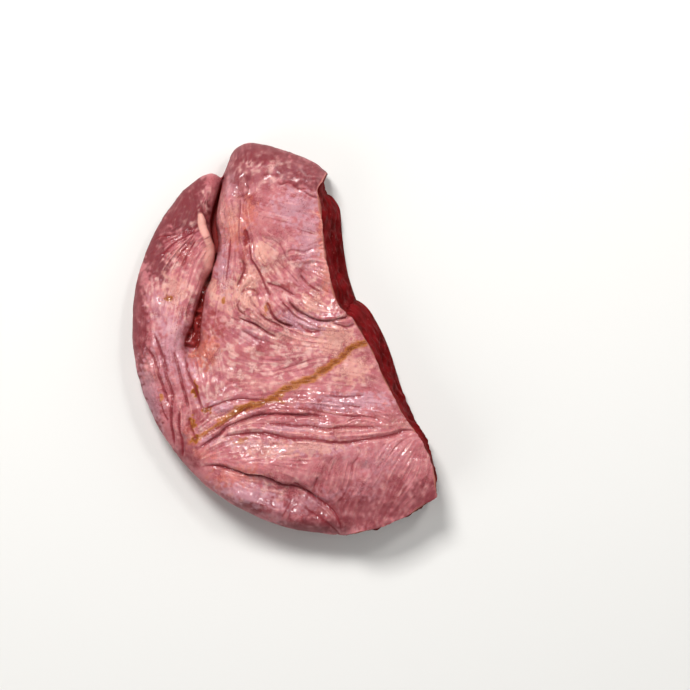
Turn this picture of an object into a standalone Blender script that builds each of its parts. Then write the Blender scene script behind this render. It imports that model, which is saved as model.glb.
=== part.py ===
"""Raw beef spleen: one thick slab as the knife left it, resting on its flat underside.

The slab is one solid. Seen from above it has a tall rounded lobe, a lower lobe to its left with a
deep slit between the two, a side bent to a round arc, and a long slanted cut on the right.
Lengths are in millimetres until the last step, which turns them into metres. +Z is up, +Y runs
towards the rounded lobe, and the origin is under the middle of the slab.
"""

import math

import bmesh
import bpy
import numpy as np

MM = 0.001

# Driving dimensions, in millimetres
THICKNESS = 26.0
MARGIN_HEIGHT = 0.42  # where a natural margin reaches furthest out, as a share of the height there
MARGIN_TUCK = 7.0  # how far a natural margin rolls back under to the foot
LOBE_TUCK = 4.5  # the same round the tips of the two lobes
CUT_SLANT = 9.5  # how far the foot of the long cut stands out beyond its upper edge
CUT_SLANT_RAMPS = (0.55, 0.12)  # shares of the cut over which it reaches that, from the end flap and the lobe
CUT_BLEND = 4  # rim places over which a natural margin turns into a cut, to either side
LOBE_TIPS = (50.0, 70.0)  # Y over which the tuck passes from the one to the other
LOWER_LOBE_DROP = 7.0  # how much lower the left lobe lies than the tall lobe
LOWER_LOBE_RAMP = (-22.0, 68.0)  # Y over which it drops so far
SLIT_FLOOR = 8.0
SLIT_BANK = 7.0  # width over which the banks of the slit round down

# Mesh: grid cells across and along the upper face, and rows down the side
COLUMNS = 58
ROWS = 70
SIDE_ROWS = 4
EVENING_ROUNDS = 500
EDGE_CROWDING = 0.55  # 0 spaces the cells evenly, 1 crowds them fully at the natural margins
SLIT_CROWDING = 0.5  # how far cells beside the slit are drawn in to it
SLIT_REACH = 9.0  # distance over which they are

# The left and lower side follow one arc, as pressed against a round wall
ARC_CENTRE = (27.0, 6.5)
ARC_RADIUS = 100.0
ARC_UPPER_END = 147.5  # degrees
ARC_CORNER = 221.0
ARC_LOWER_END = 271.0

# Upper edge of the long cut, from the tall lobe down to the corner
CUT_EDGE = [
    (20.5, 79.5), (17.5, 74.0), (16.0, 70.5), (16.5, 66.0), (17.5, 59.0), (18.0, 51.0), (19.5, 38.5),
    (21.5, 28.0), (25.0, 17.0), (27.5, 11.5), (32.0, 9.5), (35.5, 4.5), (41.5, -6.0), (47.5, -19.0),
    (52.5, -29.0), (58.5, -39.0), (64.0, -46.0), (68.5, -55.0), (71.0, -63.0), (72.5, -75.0),
]
# Short cut at the lower end, from that corner to where the arc begins
END_CUT = [(72.5, -75.0), (66.5, -78.5), (59.0, -83.5), (48.0, -88.0), (37.0, -91.5), (28.7, -93.5)]
# Natural margin over the two lobes, with the notch where they part
LOBES = [
    (-57.3, 60.2), (-53.5, 65.0), (-49.5, 70.5), (-44.5, 74.5), (-40.0, 78.0), (-36.0, 79.5),
    (-33.0, 79.0), (-30.5, 77.5), (-29.0, 79.5), (-27.0, 84.0), (-25.0, 89.0), (-22.0, 92.0),
    (-17.5, 94.0), (-12.5, 93.5), (-6.5, 92.5), (0.5, 90.0), (7.5, 87.5), (14.0, 84.5), (20.5, 79.5),
]
# Width over which the natural margin rounds up to the full height, by share of its length from the end cut
MARGIN_ROLL = [(0.0, 10.0), (0.1, 16.0), (0.4, 20.0), (0.66, 12.0), (0.8, 12.0), (1.0, 15.0)]
# Slit between the lobes: x, y and half its open width
SLIT = [
    (-29.5, 77.0, 0.3), (-31.5, 68.5, 0.3), (-33.0, 62.5, 0.6), (-34.0, 55.5, 1.0), (-33.2, 47.0, 1.2),
    (-33.5, 39.5, 1.2), (-35.5, 30.5, 1.0), (-38.0, 23.5, 1.2), (-40.0, 14.5, 2.6), (-41.0, 6.5, 3.2),
    (-42.3, -1.0, 3.8), (-42.3, -6.0, 2.6), (-42.0, -9.0, 1.0),
]

# Swellings of the upper face: centre, radii along and across, turn in degrees, height
SWELLINGS = [
    ((-6.0, 70.0), (30.0, 26.0), 0.0, 5.0),  # crown of the tall lobe
    ((9.0, 77.0), (7.0, 5.0), -20.0, 1.3),  # knuckle beside the cut
    ((-25.0, 55.0), (26.0, 6.0), 85.0, 1.6),  # shoulder along the slit
    ((-9.0, 36.0), (13.0, 10.0), 60.0, 1.6),  # fat pad under the skin
    ((-38.5, 44.0), (17.0, 3.5), 84.0, 3.6),  # fat cord on the lower lobe's edge
    ((12.0, -54.0), (40.0, 12.0), 4.0, 3.4),  # crown of the end flap
    ((-14.0, -78.0), (28.0, 9.0), -24.0, 2.6),  # roll below the last crease
    ((55.0, -66.0), (16.0, 14.0), 20.0, 1.4),
    ((30.0, 4.0), (15.0, 8.0), -35.0, 1.2),
]
# Main folds: the line each follows, its half width and its depth
FOLDS = [
    ([(-14.0, 31.0), (-5.0, 20.0), (4.0, 12.5), (15.0, 9.0), (30.0, 10.5)], 3.0, 2.6),  # overlapping fold
    ([(-24.0, 60.0), (-24.5, 46.0), (-20.0, 34.0), (-14.0, 22.0), (0.0, 4.0)], 3.0, 2.0),
    ([(-45.0, -55.0), (-31.0, -45.0), (-16.0, -37.0), (8.0, -33.5), (36.0, -36.0)], 3.2, 2.8),
    ([(-29.0, -47.0), (-10.0, -45.0), (20.0, -48.5), (45.0, -49.0), (66.0, -46.0)], 3.2, 2.6),
    ([(-42.0, -60.0), (-22.0, -61.0), (2.0, -70.0), (20.0, -82.0), (28.0, -92.0)], 3.4, 3.0),
    ([(-60.0, 6.0), (-55.0, -14.0), (-50.0, -36.0), (-48.5, -54.0)], 3.2, 2.2),
    ([(-57.5, 45.5), (-52.0, 48.0), (-45.5, 52.0), (-39.5, 55.0)], 3.0, 2.6),  # crease over the lower lobe
]


def smooth_path(points, count):
    """Catmull-Rom curve through the points, read at count places an equal distance apart."""
    points = np.asarray(points, float)
    padded = np.vstack([2 * points[0] - points[1], points, 2 * points[-1] - points[-2]])
    step = np.linspace(0, 1, 24, endpoint=False)[:, None]
    pieces = []
    for a, b, c, d in zip(padded, padded[1:], padded[2:], padded[3:]):
        bend = 2 * a - 5 * b + 4 * c - d
        twist = 3 * b - a - 3 * c + d
        pieces.append(b + 0.5 * step * ((c - a) + step * (bend + step * twist)))
    curve = np.vstack(pieces + [points[-1:]])
    length = np.concatenate([[0], np.cumsum(np.linalg.norm(np.diff(curve[:, :2], axis=0), axis=1))])
    wanted = np.linspace(0, length[-1], count)
    return np.stack([np.interp(wanted, length, column) for column in curve.T], axis=1)


def round_side(first, last, count):
    """Points of the round side between two angles, in degrees."""
    angle = np.radians(np.linspace(first, last, count))
    return np.array(ARC_CENTRE) + ARC_RADIUS * np.stack([np.cos(angle), np.sin(angle)], axis=1)


def lower_side():
    """From the arc's corner along the arc and the end cut to the corner of the long cut."""
    return np.vstack([round_side(ARC_CORNER, ARC_LOWER_END, 200), smooth_path(END_CUT[::-1], 120)[1:]])


def at_share(path, shares):
    """The path's places at these shares of its length, from 0 to 1."""
    length = np.concatenate([[0], np.cumsum(np.linalg.norm(np.diff(path, axis=0), axis=1))])
    return np.stack([np.interp(shares * length[-1], length, column) for column in path.T], axis=1)


def smooth_step(x):
    """0 below 0, 1 above 1, and an even S between."""
    x = np.clip(x, 0, 1)
    return x * x * (3 - 2 * x)


def ramp(x, first, last):
    """0 up to first, 1 from last on, and an even S between."""
    return smooth_step((x - first) / (last - first))


def round_over(distance, width):
    """0 at the edge and 1 from width inwards, along a quarter of an ellipse."""
    inward = 1 - np.clip(distance / width, 0, 1)
    return np.sqrt(np.clip(1 - inward**2, 0, 1))


def nearest_on(path, points):
    """For each point: how far along the path its nearest place is, as a share, how far away it is, and
    how far the point lies to the path's left."""
    start, step = path[:-1, :2], np.diff(path[:, :2], axis=0)
    away = points[:, None, :] - start
    along = np.clip((away * step).sum(axis=2) / (step**2).sum(axis=1), 0, 1)
    squared = ((away - along[..., None] * step) ** 2).sum(axis=2)
    best = np.argmin(squared, axis=1)
    every = np.arange(len(points))
    along, away, step = along[every, best], away[every, best], step[best]
    left = (step[:, 0] * away[:, 1] - step[:, 1] * away[:, 0]) / np.linalg.norm(step, axis=1)
    return (best + along) / len(start), np.sqrt(squared[every, best]), left


def plan_grid():
    """Grid of the upper face in plan: the four sides blended into each other, evened out inside, then
    crowded towards the natural margins and the slit, where the face is steep."""
    across = np.linspace(0, 1, COLUMNS + 1)
    along = np.linspace(0, 1, ROWS + 1)
    u, v = across[None, :, None], along[:, None, None]
    left = round_side(ARC_CORNER, ARC_UPPER_END, ROWS + 1)[:, None, :]
    right = smooth_path(CUT_EDGE[::-1], ROWS + 1)[:, None, :]
    lower = at_share(lower_side(), across)[None, :, :]
    upper = smooth_path(LOBES, COLUMNS + 1)[None, :, :]
    left_corners = (1 - v) * lower[:, :1] + v * upper[:, :1]
    right_corners = (1 - v) * lower[:, -1:] + v * upper[:, -1:]
    grid = (1 - u) * (left - left_corners) + u * (right - right_corners) + (1 - v) * lower + v * upper
    even_out(grid)

    from_left = across - EDGE_CROWDING * np.sin(math.pi * across) / math.pi
    from_ends = along - EDGE_CROWDING * np.sin(2 * math.pi * along) / (2 * math.pi)
    grid = read_between(read_between(grid, from_ends * ROWS).swapaxes(0, 1), from_left * COLUMNS)
    return towards_slit(grid.swapaxes(0, 1).reshape(-1, 2)).reshape(grid.shape[1], grid.shape[0], 2)


def even_out(grid):
    """Moves the grid's inner places, rim kept, until they solve Winslow's equations: no cell folds over."""
    for _ in range(EVENING_ROUNDS):
        du = grid[1:-1, 2:] - grid[1:-1, :-2]
        dv = grid[2:, 1:-1] - grid[:-2, 1:-1]
        uu = (du**2).sum(axis=2, keepdims=True)
        vv = (dv**2).sum(axis=2, keepdims=True)
        uv = (du * dv).sum(axis=2, keepdims=True)
        twist = grid[2:, 2:] - grid[2:, :-2] - grid[:-2, 2:] + grid[:-2, :-2]
        beside = vv * (grid[1:-1, 2:] + grid[1:-1, :-2]) + uu * (grid[2:, 1:-1] + grid[:-2, 1:-1])
        grid[1:-1, 1:-1] = (beside - uv * twist / 2) / (2 * (uu + vv))


def read_between(rows, places):
    """Rows of the grid at fractional places, each taken straight between its two neighbours."""
    below = np.minimum(places.astype(int), len(rows) - 2)
    share = (places - below)[:, None, None]
    return rows[below] * (1 - share) + rows[below + 1] * share


def towards_slit(points):
    """Moves points beside the slit nearer to it, so that its steep banks get more of them."""
    path = smooth_path(SLIT, 120)
    share, distance, _ = nearest_on(path, points)
    nearest = np.stack([np.interp(share, np.linspace(0, 1, 120), column) for column in path.T[:2]], axis=1)
    pull = SLIT_CROWDING * np.exp(-2 * (distance / SLIT_REACH) ** 2)
    pull *= smooth_step(share / 0.15)
    return points + (nearest - points) * pull[:, None]


def natural_margin():
    """The whole natural margin in order, from the end cut round the arc and the lobes to the long cut."""
    parts = [round_side(ARC_LOWER_END, ARC_UPPER_END, 300), smooth_path(LOBES, 150)[1:]]
    return at_share(np.vstack(parts), np.linspace(0, 1, 400))


def upper_height(points):
    """Height of the upper face over each plan point."""
    x, y = points.T
    height = np.full(len(points), THICKNESS)
    for (cx, cy), (along, across), turn, rise in SWELLINGS:
        c, s = math.cos(math.radians(turn)), math.sin(math.radians(turn))
        dx, dy = x - cx, y - cy
        height += rise * np.exp(-(((dx * c + dy * s) / along) ** 2) - ((dy * c - dx * s) / across) ** 2)

    slit = smooth_path(SLIT, 120)
    slit_share, slit_distance, left = nearest_on(slit, points)
    height -= LOWER_LOBE_DROP * smooth_step(0.5 - left / 3) * ramp(y, *LOWER_LOBE_RAMP)

    margin_share, margin_distance, _ = nearest_on(natural_margin(), points)
    roll_width = np.interp(margin_share, *zip(*MARGIN_ROLL))
    rolled = MARGIN_HEIGHT + (1 - MARGIN_HEIGHT) * round_over(margin_distance, roll_width)
    height *= rolled

    for line, width, depth in FOLDS:
        share, distance, _ = nearest_on(smooth_path(line, 60), points)
        fade = smooth_step(share / 0.2) * smooth_step((1 - share) / 0.2)
        height -= depth * fade * np.exp(-((distance / width) ** 2)) * rolled

    half_width = np.interp(slit_share, np.linspace(0, 1, len(slit)), slit[:, 2])
    bank = round_over(slit_distance - half_width, SLIT_BANK)
    floor = np.minimum(SLIT_FLOOR, height)
    return floor + (height - floor) * bank


def rim_of(grid):
    """The grid's outer ring of places, counter-clockwise from its first corner."""
    return np.concatenate([grid[0, :-1], grid[:-1, -1], grid[-1, :0:-1], grid[:0:-1, 0]])


def outward(ring):
    """Unit vectors that point out of a counter-clockwise ring in plan."""
    ahead = np.roll(ring, -2, axis=0) - np.roll(ring, 2, axis=0)
    normal = np.stack([ahead[:, 1], -ahead[:, 0]], axis=1)
    return normal / np.linalg.norm(normal, axis=1, keepdims=True)


def side_rings(rim):
    """Rings from the rim to the foot, slanted out on the long cut and rolled under on the natural margin."""
    place = np.arange(len(rim))
    on_long_cut = (place >= COLUMNS) & (place <= COLUMNS + ROWS)
    on_end_cut = (place < COLUMNS) & (rim[:, 0] >= END_CUT[-1][0])
    cut = on_long_cut | on_end_cut
    around = np.arange(-CUT_BLEND, CUT_BLEND + 1)
    natural = 1 - cut[(place[:, None] + around) % len(rim)].mean(axis=1)
    share_up = np.clip((place - COLUMNS) / ROWS, 0, 1)
    from_flap, from_lobe = CUT_SLANT_RAMPS
    slant = CUT_SLANT * smooth_step(share_up / from_flap) * smooth_step((1 - share_up) / from_lobe)
    tuck = MARGIN_TUCK + (LOBE_TUCK - MARGIN_TUCK) * ramp(rim[:, 1], *LOBE_TIPS)
    out = outward(rim[:, :2])
    rings = []
    for down in np.arange(1, SIDE_ROWS + 1) / SIDE_ROWS:
        turn = down * math.pi / 2
        offset = slant * down * (1 - natural) - tuck * (1 - math.cos(turn)) * natural
        height = rim[:, 2] * (1 - down * (1 - natural) - math.sin(turn) * natural)
        rings.append(np.column_stack([rim[:, :2] + out * offset[:, None], height]))
    rings[-1][:, 2] = 0.0
    return rings, cut


def make_slab():
    """The slab as one closed mesh: upper face, side rings and one flat underside."""
    plan = plan_grid()
    height = upper_height(plan.reshape(-1, 2)).reshape(plan.shape[:2])
    plan -= (plan.min(axis=(0, 1)) + plan.max(axis=(0, 1))) / 2
    grid = np.concatenate([plan, height[..., None]], axis=2)
    numbers = np.arange(grid.shape[0] * grid.shape[1]).reshape(grid.shape[:2])
    rings, cut = side_rings(rim_of(grid))

    bm = bmesh.new()
    for place in grid.reshape(-1, 3):
        bm.verts.new(place * MM)
    for ring in rings:
        for place in ring:
            bm.verts.new(place * MM)
    bm.verts.ensure_lookup_table()

    quads = np.stack([numbers[:-1, :-1], numbers[:-1, 1:], numbers[1:, 1:], numbers[1:, :-1]], axis=-1)
    for corners in quads.reshape(-1, 4):
        bm.faces.new([bm.verts[i] for i in corners])
    above = rim_of(numbers)
    for row in range(len(rings)):
        below = grid.shape[0] * grid.shape[1] + row * len(above) + np.arange(len(above))
        for i in range(len(above)):
            j = (i + 1) % len(above)
            face = bm.faces.new([bm.verts[k] for k in (above[i], below[i], below[j], above[j])])
            face.material_index = int(cut[i] and cut[j])
        above = below
    bm.faces.new([bm.verts[i] for i in above[::-1]])

    mesh = bpy.data.meshes.new("spleen_slab")
    bm.to_mesh(mesh)
    bm.free()
    mesh.shade_smooth()
    mesh.set_sharp_from_angle(angle=math.radians(40))
    slab = bpy.data.objects.new("spleen_slab", mesh)
    bpy.context.scene.collection.objects.link(slab)
    return slab


def make_material(name, colour, roughness):
    """A plain glossy finish for wet raw meat."""
    material = bpy.data.materials.new(name)
    material.use_nodes = True
    shader = material.node_tree.nodes["Principled BSDF"]
    shader.inputs["Base Color"].default_value = (*colour, 1.0)
    shader.inputs["Roughness"].default_value = roughness
    shader.inputs["Metallic"].default_value = 0.0
    return material


for old in list(bpy.data.objects):
    bpy.data.objects.remove(old, do_unlink=True)

spleen = make_slab()
spleen.data.materials.append(make_material("spleen_membrane", (0.48, 0.19, 0.19), 0.3))
spleen.data.materials.append(make_material("cut_pulp", (0.14, 0.01, 0.01), 0.25))
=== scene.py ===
# %% [markdown]
# # A slab of raw beef spleen
#
# A beef spleen is a long flat organ in a thin tough membrane. A butcher has cut this one across, so the
# slab has a natural rounded margin on three sides and dark, wet pulp on the other two. The membrane is
# what makes it look like spleen: it is wet, mauve and pink, and it wrinkles where the meat under it sags.
#
# The first cell brings in the solid model that the whole scene has to fit, and keeps its size.

# %% Bring in the frame
import math

import bpy
import numpy as np
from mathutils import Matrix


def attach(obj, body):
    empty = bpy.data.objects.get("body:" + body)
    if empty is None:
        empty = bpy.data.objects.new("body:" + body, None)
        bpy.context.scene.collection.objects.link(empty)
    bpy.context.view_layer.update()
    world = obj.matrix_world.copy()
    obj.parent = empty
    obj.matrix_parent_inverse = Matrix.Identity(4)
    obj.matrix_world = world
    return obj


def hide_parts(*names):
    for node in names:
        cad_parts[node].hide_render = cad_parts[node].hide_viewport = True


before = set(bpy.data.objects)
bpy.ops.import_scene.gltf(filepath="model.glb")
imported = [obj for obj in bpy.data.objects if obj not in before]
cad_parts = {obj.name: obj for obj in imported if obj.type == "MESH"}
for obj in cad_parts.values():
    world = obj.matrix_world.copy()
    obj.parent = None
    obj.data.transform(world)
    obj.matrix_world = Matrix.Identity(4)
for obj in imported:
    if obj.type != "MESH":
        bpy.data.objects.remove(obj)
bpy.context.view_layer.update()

# %% [markdown]
# ## Measures
#
# All lengths are in millimetres until a mesh is made. The features of the membrane were found in the
# photograph, so they are written as photo pixels, and one function turns them into millimetres on the slab.

# %% Millimetres and photo pixels
MM = 0.001
PIXEL = 0.475  # millimetres of meat that one pixel of the photograph spans
PIXEL_ORIGIN = (284.0, 339.0)  # the pixel over the plan's origin


def on_slab(points):
    """Photo pixels (column, row, anything more) as millimetres: x to the right, y up the photograph."""
    points = np.array(points, float)
    points[:, 0] = (points[:, 0] - PIXEL_ORIGIN[0]) * PIXEL
    points[:, 1] = (PIXEL_ORIGIN[1] - points[:, 1]) * PIXEL
    return points


def smooth_step(x):
    """0 below 0, 1 above 1, and an even S between: x squared times (3 - 2x)."""
    x = np.clip(x, 0, 1)
    return x * x * (3 - 2 * x)


def ramp(x, first, last):
    """0 up to first, 1 from last on, and an even S between."""
    return smooth_step((x - first) / (last - first))


# %% [markdown]
# ## The outline
#
# The slab's left and lower side bend to one arc of a circle. The other sides are smooth curves through a
# few points. A Catmull-Rom curve is handy here, because it runs through every point that it is given.

# %% Sides of the slab, seen from above
ARC_CENTRE = (27.0, 6.5)
ARC_RADIUS = 100.0
ARC_UPPER_END = 147.5  # degrees
ARC_CORNER = 221.0
ARC_LOWER_END = 271.0
CUT_EDGE = [  # the long cut, from the tall lobe down
    (20.5, 79.5), (17.5, 74.0), (16.0, 70.5), (16.5, 66.0), (17.5, 59.0), (18.0, 51.0), (19.5, 38.5),
    (21.5, 28.0), (25.0, 17.0), (27.5, 11.5), (32.0, 9.5), (35.5, 4.5), (41.5, -6.0), (47.5, -19.0),
    (52.5, -29.0), (58.5, -39.0), (64.0, -46.0), (68.5, -55.0), (71.0, -63.0), (72.5, -75.0),
]
END_CUT = [(72.5, -75.0), (66.5, -78.5), (59.0, -83.5), (48.0, -88.0), (37.0, -91.5), (28.7, -93.5)]
LOBES = [  # the lower lobe's tip, the notch and the tall lobe
    (-57.3, 60.2), (-53.5, 65.0), (-49.5, 70.5), (-44.5, 74.5), (-40.0, 78.0), (-36.0, 79.5),
    (-33.0, 79.0), (-30.5, 77.5), (-29.0, 79.5), (-27.0, 84.0), (-25.0, 89.0), (-22.0, 92.0),
    (-17.5, 94.0), (-12.5, 93.5), (-6.5, 92.5), (0.5, 90.0), (7.5, 87.5), (14.0, 84.5), (20.5, 79.5),
]
SLIT = [  # x, y and half the open width of the slit between the lobes
    (-29.5, 77.0, 0.3), (-31.5, 68.5, 0.3), (-33.0, 62.5, 0.6), (-34.0, 55.5, 1.0), (-33.2, 47.0, 1.2),
    (-33.5, 39.5, 1.1), (-35.5, 30.5, 0.9), (-38.3, 23.5, 0.6), (-40.4, 14.5, 1.3), (-42.2, 6.5, 2.0),
    (-43.8, 0.0, 3.2), (-44.6, -4.5, 2.8), (-44.0, -8.0, 1.0),
]


def smooth_path(points, step=0.5):
    """Catmull-Rom curve through the points, with a place every step millimetres."""
    points = np.asarray(points, float)
    padded = np.vstack([2 * points[0] - points[1], points, 2 * points[-1] - points[-2]])
    t = np.linspace(0, 1, 24, endpoint=False)[:, None]
    pieces = []
    for a, b, c, d in zip(padded, padded[1:], padded[2:], padded[3:]):
        bend = 2 * a - 5 * b + 4 * c - d
        twist = 3 * b - a - 3 * c + d
        pieces.append(b + 0.5 * t * ((c - a) + t * (bend + t * twist)))
    curve = np.vstack(pieces + [points[-1:]])
    length = np.concatenate([[0], np.cumsum(np.hypot(*np.diff(curve[:, :2], axis=0).T))])
    wanted = np.linspace(0, length[-1], max(3, int(length[-1] / step)))
    return np.stack([np.interp(wanted, length, column) for column in curve.T], axis=1)


def at_share(path, shares):
    """The path's places at these shares of its length, from 0 to 1."""
    length = np.concatenate([[0], np.cumsum(np.hypot(*np.diff(path[:, :2], axis=0).T))])
    return np.stack([np.interp(shares * length[-1], length, column) for column in path.T], axis=1)


def round_side(first, last):
    """Points of the arc between two angles, in degrees."""
    angle = np.radians(np.linspace(first, last, 500))
    return np.array(ARC_CENTRE) + ARC_RADIUS * np.stack([np.cos(angle), np.sin(angle)], axis=1)


left_side = round_side(ARC_CORNER, ARC_UPPER_END)
right_side = smooth_path(CUT_EDGE[::-1])
lower_side = np.vstack([round_side(ARC_CORNER, ARC_LOWER_END), smooth_path(END_CUT[::-1])[1:]])
upper_side = smooth_path(LOBES)
natural_margin = np.vstack([round_side(ARC_LOWER_END, ARC_UPPER_END), upper_side[1:]])
print("natural margin:", round(np.hypot(*np.diff(natural_margin, axis=0).T).sum()), "mm long")

# %% [markdown]
# ## A map of the membrane
#
# A wrinkled skin is easiest to work out on a flat map, as a cartographer does: one number for each spot of
# 0.3 mm, first for how high the skin stands there, later for how fat, bloody or stained it is. The mesh
# reads the map afterwards. numpy handles the whole map at once, and a crease only touches the part near it.

# %% The map and ways to draw on it
SPOT = 0.3
MAP_LOW = np.array([-78.0, -98.0])
MAP_SIZE = (652, 548)  # rows up, columns to the right

map_y, map_x = np.mgrid[0 : MAP_SIZE[0], 0 : MAP_SIZE[1]] * SPOT
map_x += MAP_LOW[0]
map_y += MAP_LOW[1]


def read_map(values, points):
    """The map's value at each point, taken between the four spots around it."""
    place = (points - MAP_LOW) / SPOT
    column = np.clip(place[:, 0], 0, MAP_SIZE[1] - 1.001)
    row = np.clip(place[:, 1], 0, MAP_SIZE[0] - 1.001)
    i, j = row.astype(int), column.astype(int)
    s, t = row - i, column - j
    lower = values[i, j] * (1 - t) + values[i, j + 1] * t
    upper = values[i + 1, j] * (1 - t) + values[i + 1, j + 1] * t
    return lower * (1 - s) + upper * s


def in_radii(x, y, centre, radii, turn):
    """How far x, y lie along and across an ellipse turned by so many degrees, measured in its own radii."""
    c, s = math.cos(math.radians(turn)), math.sin(math.radians(turn))
    dx, dy = x - centre[0], y - centre[1]
    return (dx * c + dy * s) / radii[0], (dy * c - dx * s) / radii[1]


def nearest_on(path, points):
    """For each point: the share of the path's length at its nearest place, the distance there, and how
    far the point lies to the path's left."""
    start, step = path[:-1, :2], np.diff(path[:, :2], axis=0)
    share, distance, left = np.empty((3, len(points)))
    for first in range(0, len(points), 4000):
        away = points[first : first + 4000, None, :] - start
        along = np.clip((away * step).sum(axis=2) / (step**2).sum(axis=1), 0, 1)
        squared = ((away - along[..., None] * step) ** 2).sum(axis=2)
        best = np.argmin(squared, axis=1)
        every = np.arange(len(best))
        side = step[best, 0] * away[every, best, 1] - step[best, 1] * away[every, best, 0]
        share[first : first + 4000] = (best + along[every, best]) / len(start)
        distance[first : first + 4000] = np.sqrt(squared[every, best])
        left[first : first + 4000] = side / np.hypot(*step[best].T)
    return share, distance, left


def values_at(path, share):
    """The path's x, y and anything more at each of the shares that nearest_on gives."""
    return np.stack([np.interp(share, np.linspace(0, 1, len(path)), column) for column in path.T], axis=1)


def near(path, reach):
    """The window of the map within reach of the path, and nearest_on for its spots, each as a map."""
    low = ((path[:, :2].min(axis=0) - reach - MAP_LOW) / SPOT).astype(int)
    high = ((path[:, :2].max(axis=0) + reach - MAP_LOW) / SPOT).astype(int) + 1
    rows = slice(max(low[1], 0), min(high[1], MAP_SIZE[0]))
    columns = slice(max(low[0], 0), min(high[0], MAP_SIZE[1]))
    points = np.stack([map_x[rows, columns].ravel(), map_y[rows, columns].ravel()], axis=1)
    shape = map_x[rows, columns].shape
    return (rows, columns), *(value.reshape(shape) for value in nearest_on(path, points))


def noise_map(largest, smallest, seed):
    """Seeded noise whose bumps measure from smallest to largest millimetres, with a spread of 1."""
    waves = np.hypot(*np.meshgrid(np.fft.fftfreq(MAP_SIZE[1], SPOT), np.fft.fftfreq(MAP_SIZE[0], SPOT)))
    keep = np.exp(-((waves * smallest) ** 2)) * (1 - np.exp(-((waves * largest) ** 2)))
    noise = np.random.default_rng(seed).standard_normal(MAP_SIZE)
    noise = np.fft.ifft2(np.fft.fft2(noise) * keep).real
    return noise / noise.std()


print("map of", MAP_SIZE[0], "by", MAP_SIZE[1], "spots")

# %% [markdown]
# ## Folds and creases
#
# The membrane is a thin skin on soft meat, so where the slab bends or sags it gathers into folds, as the
# skin of a hand does. Each fold here is a line followed on the photograph. Two soft rolls meet along it:
# each bends down into the line as a quarter of an ellipse, so the crease is sharp and its shoulders are
# round, and where one roll rides over the other it stands proud and then sinks back. A sculpting brush
# could do this too, but a list of lines can be read, measured and changed.

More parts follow.
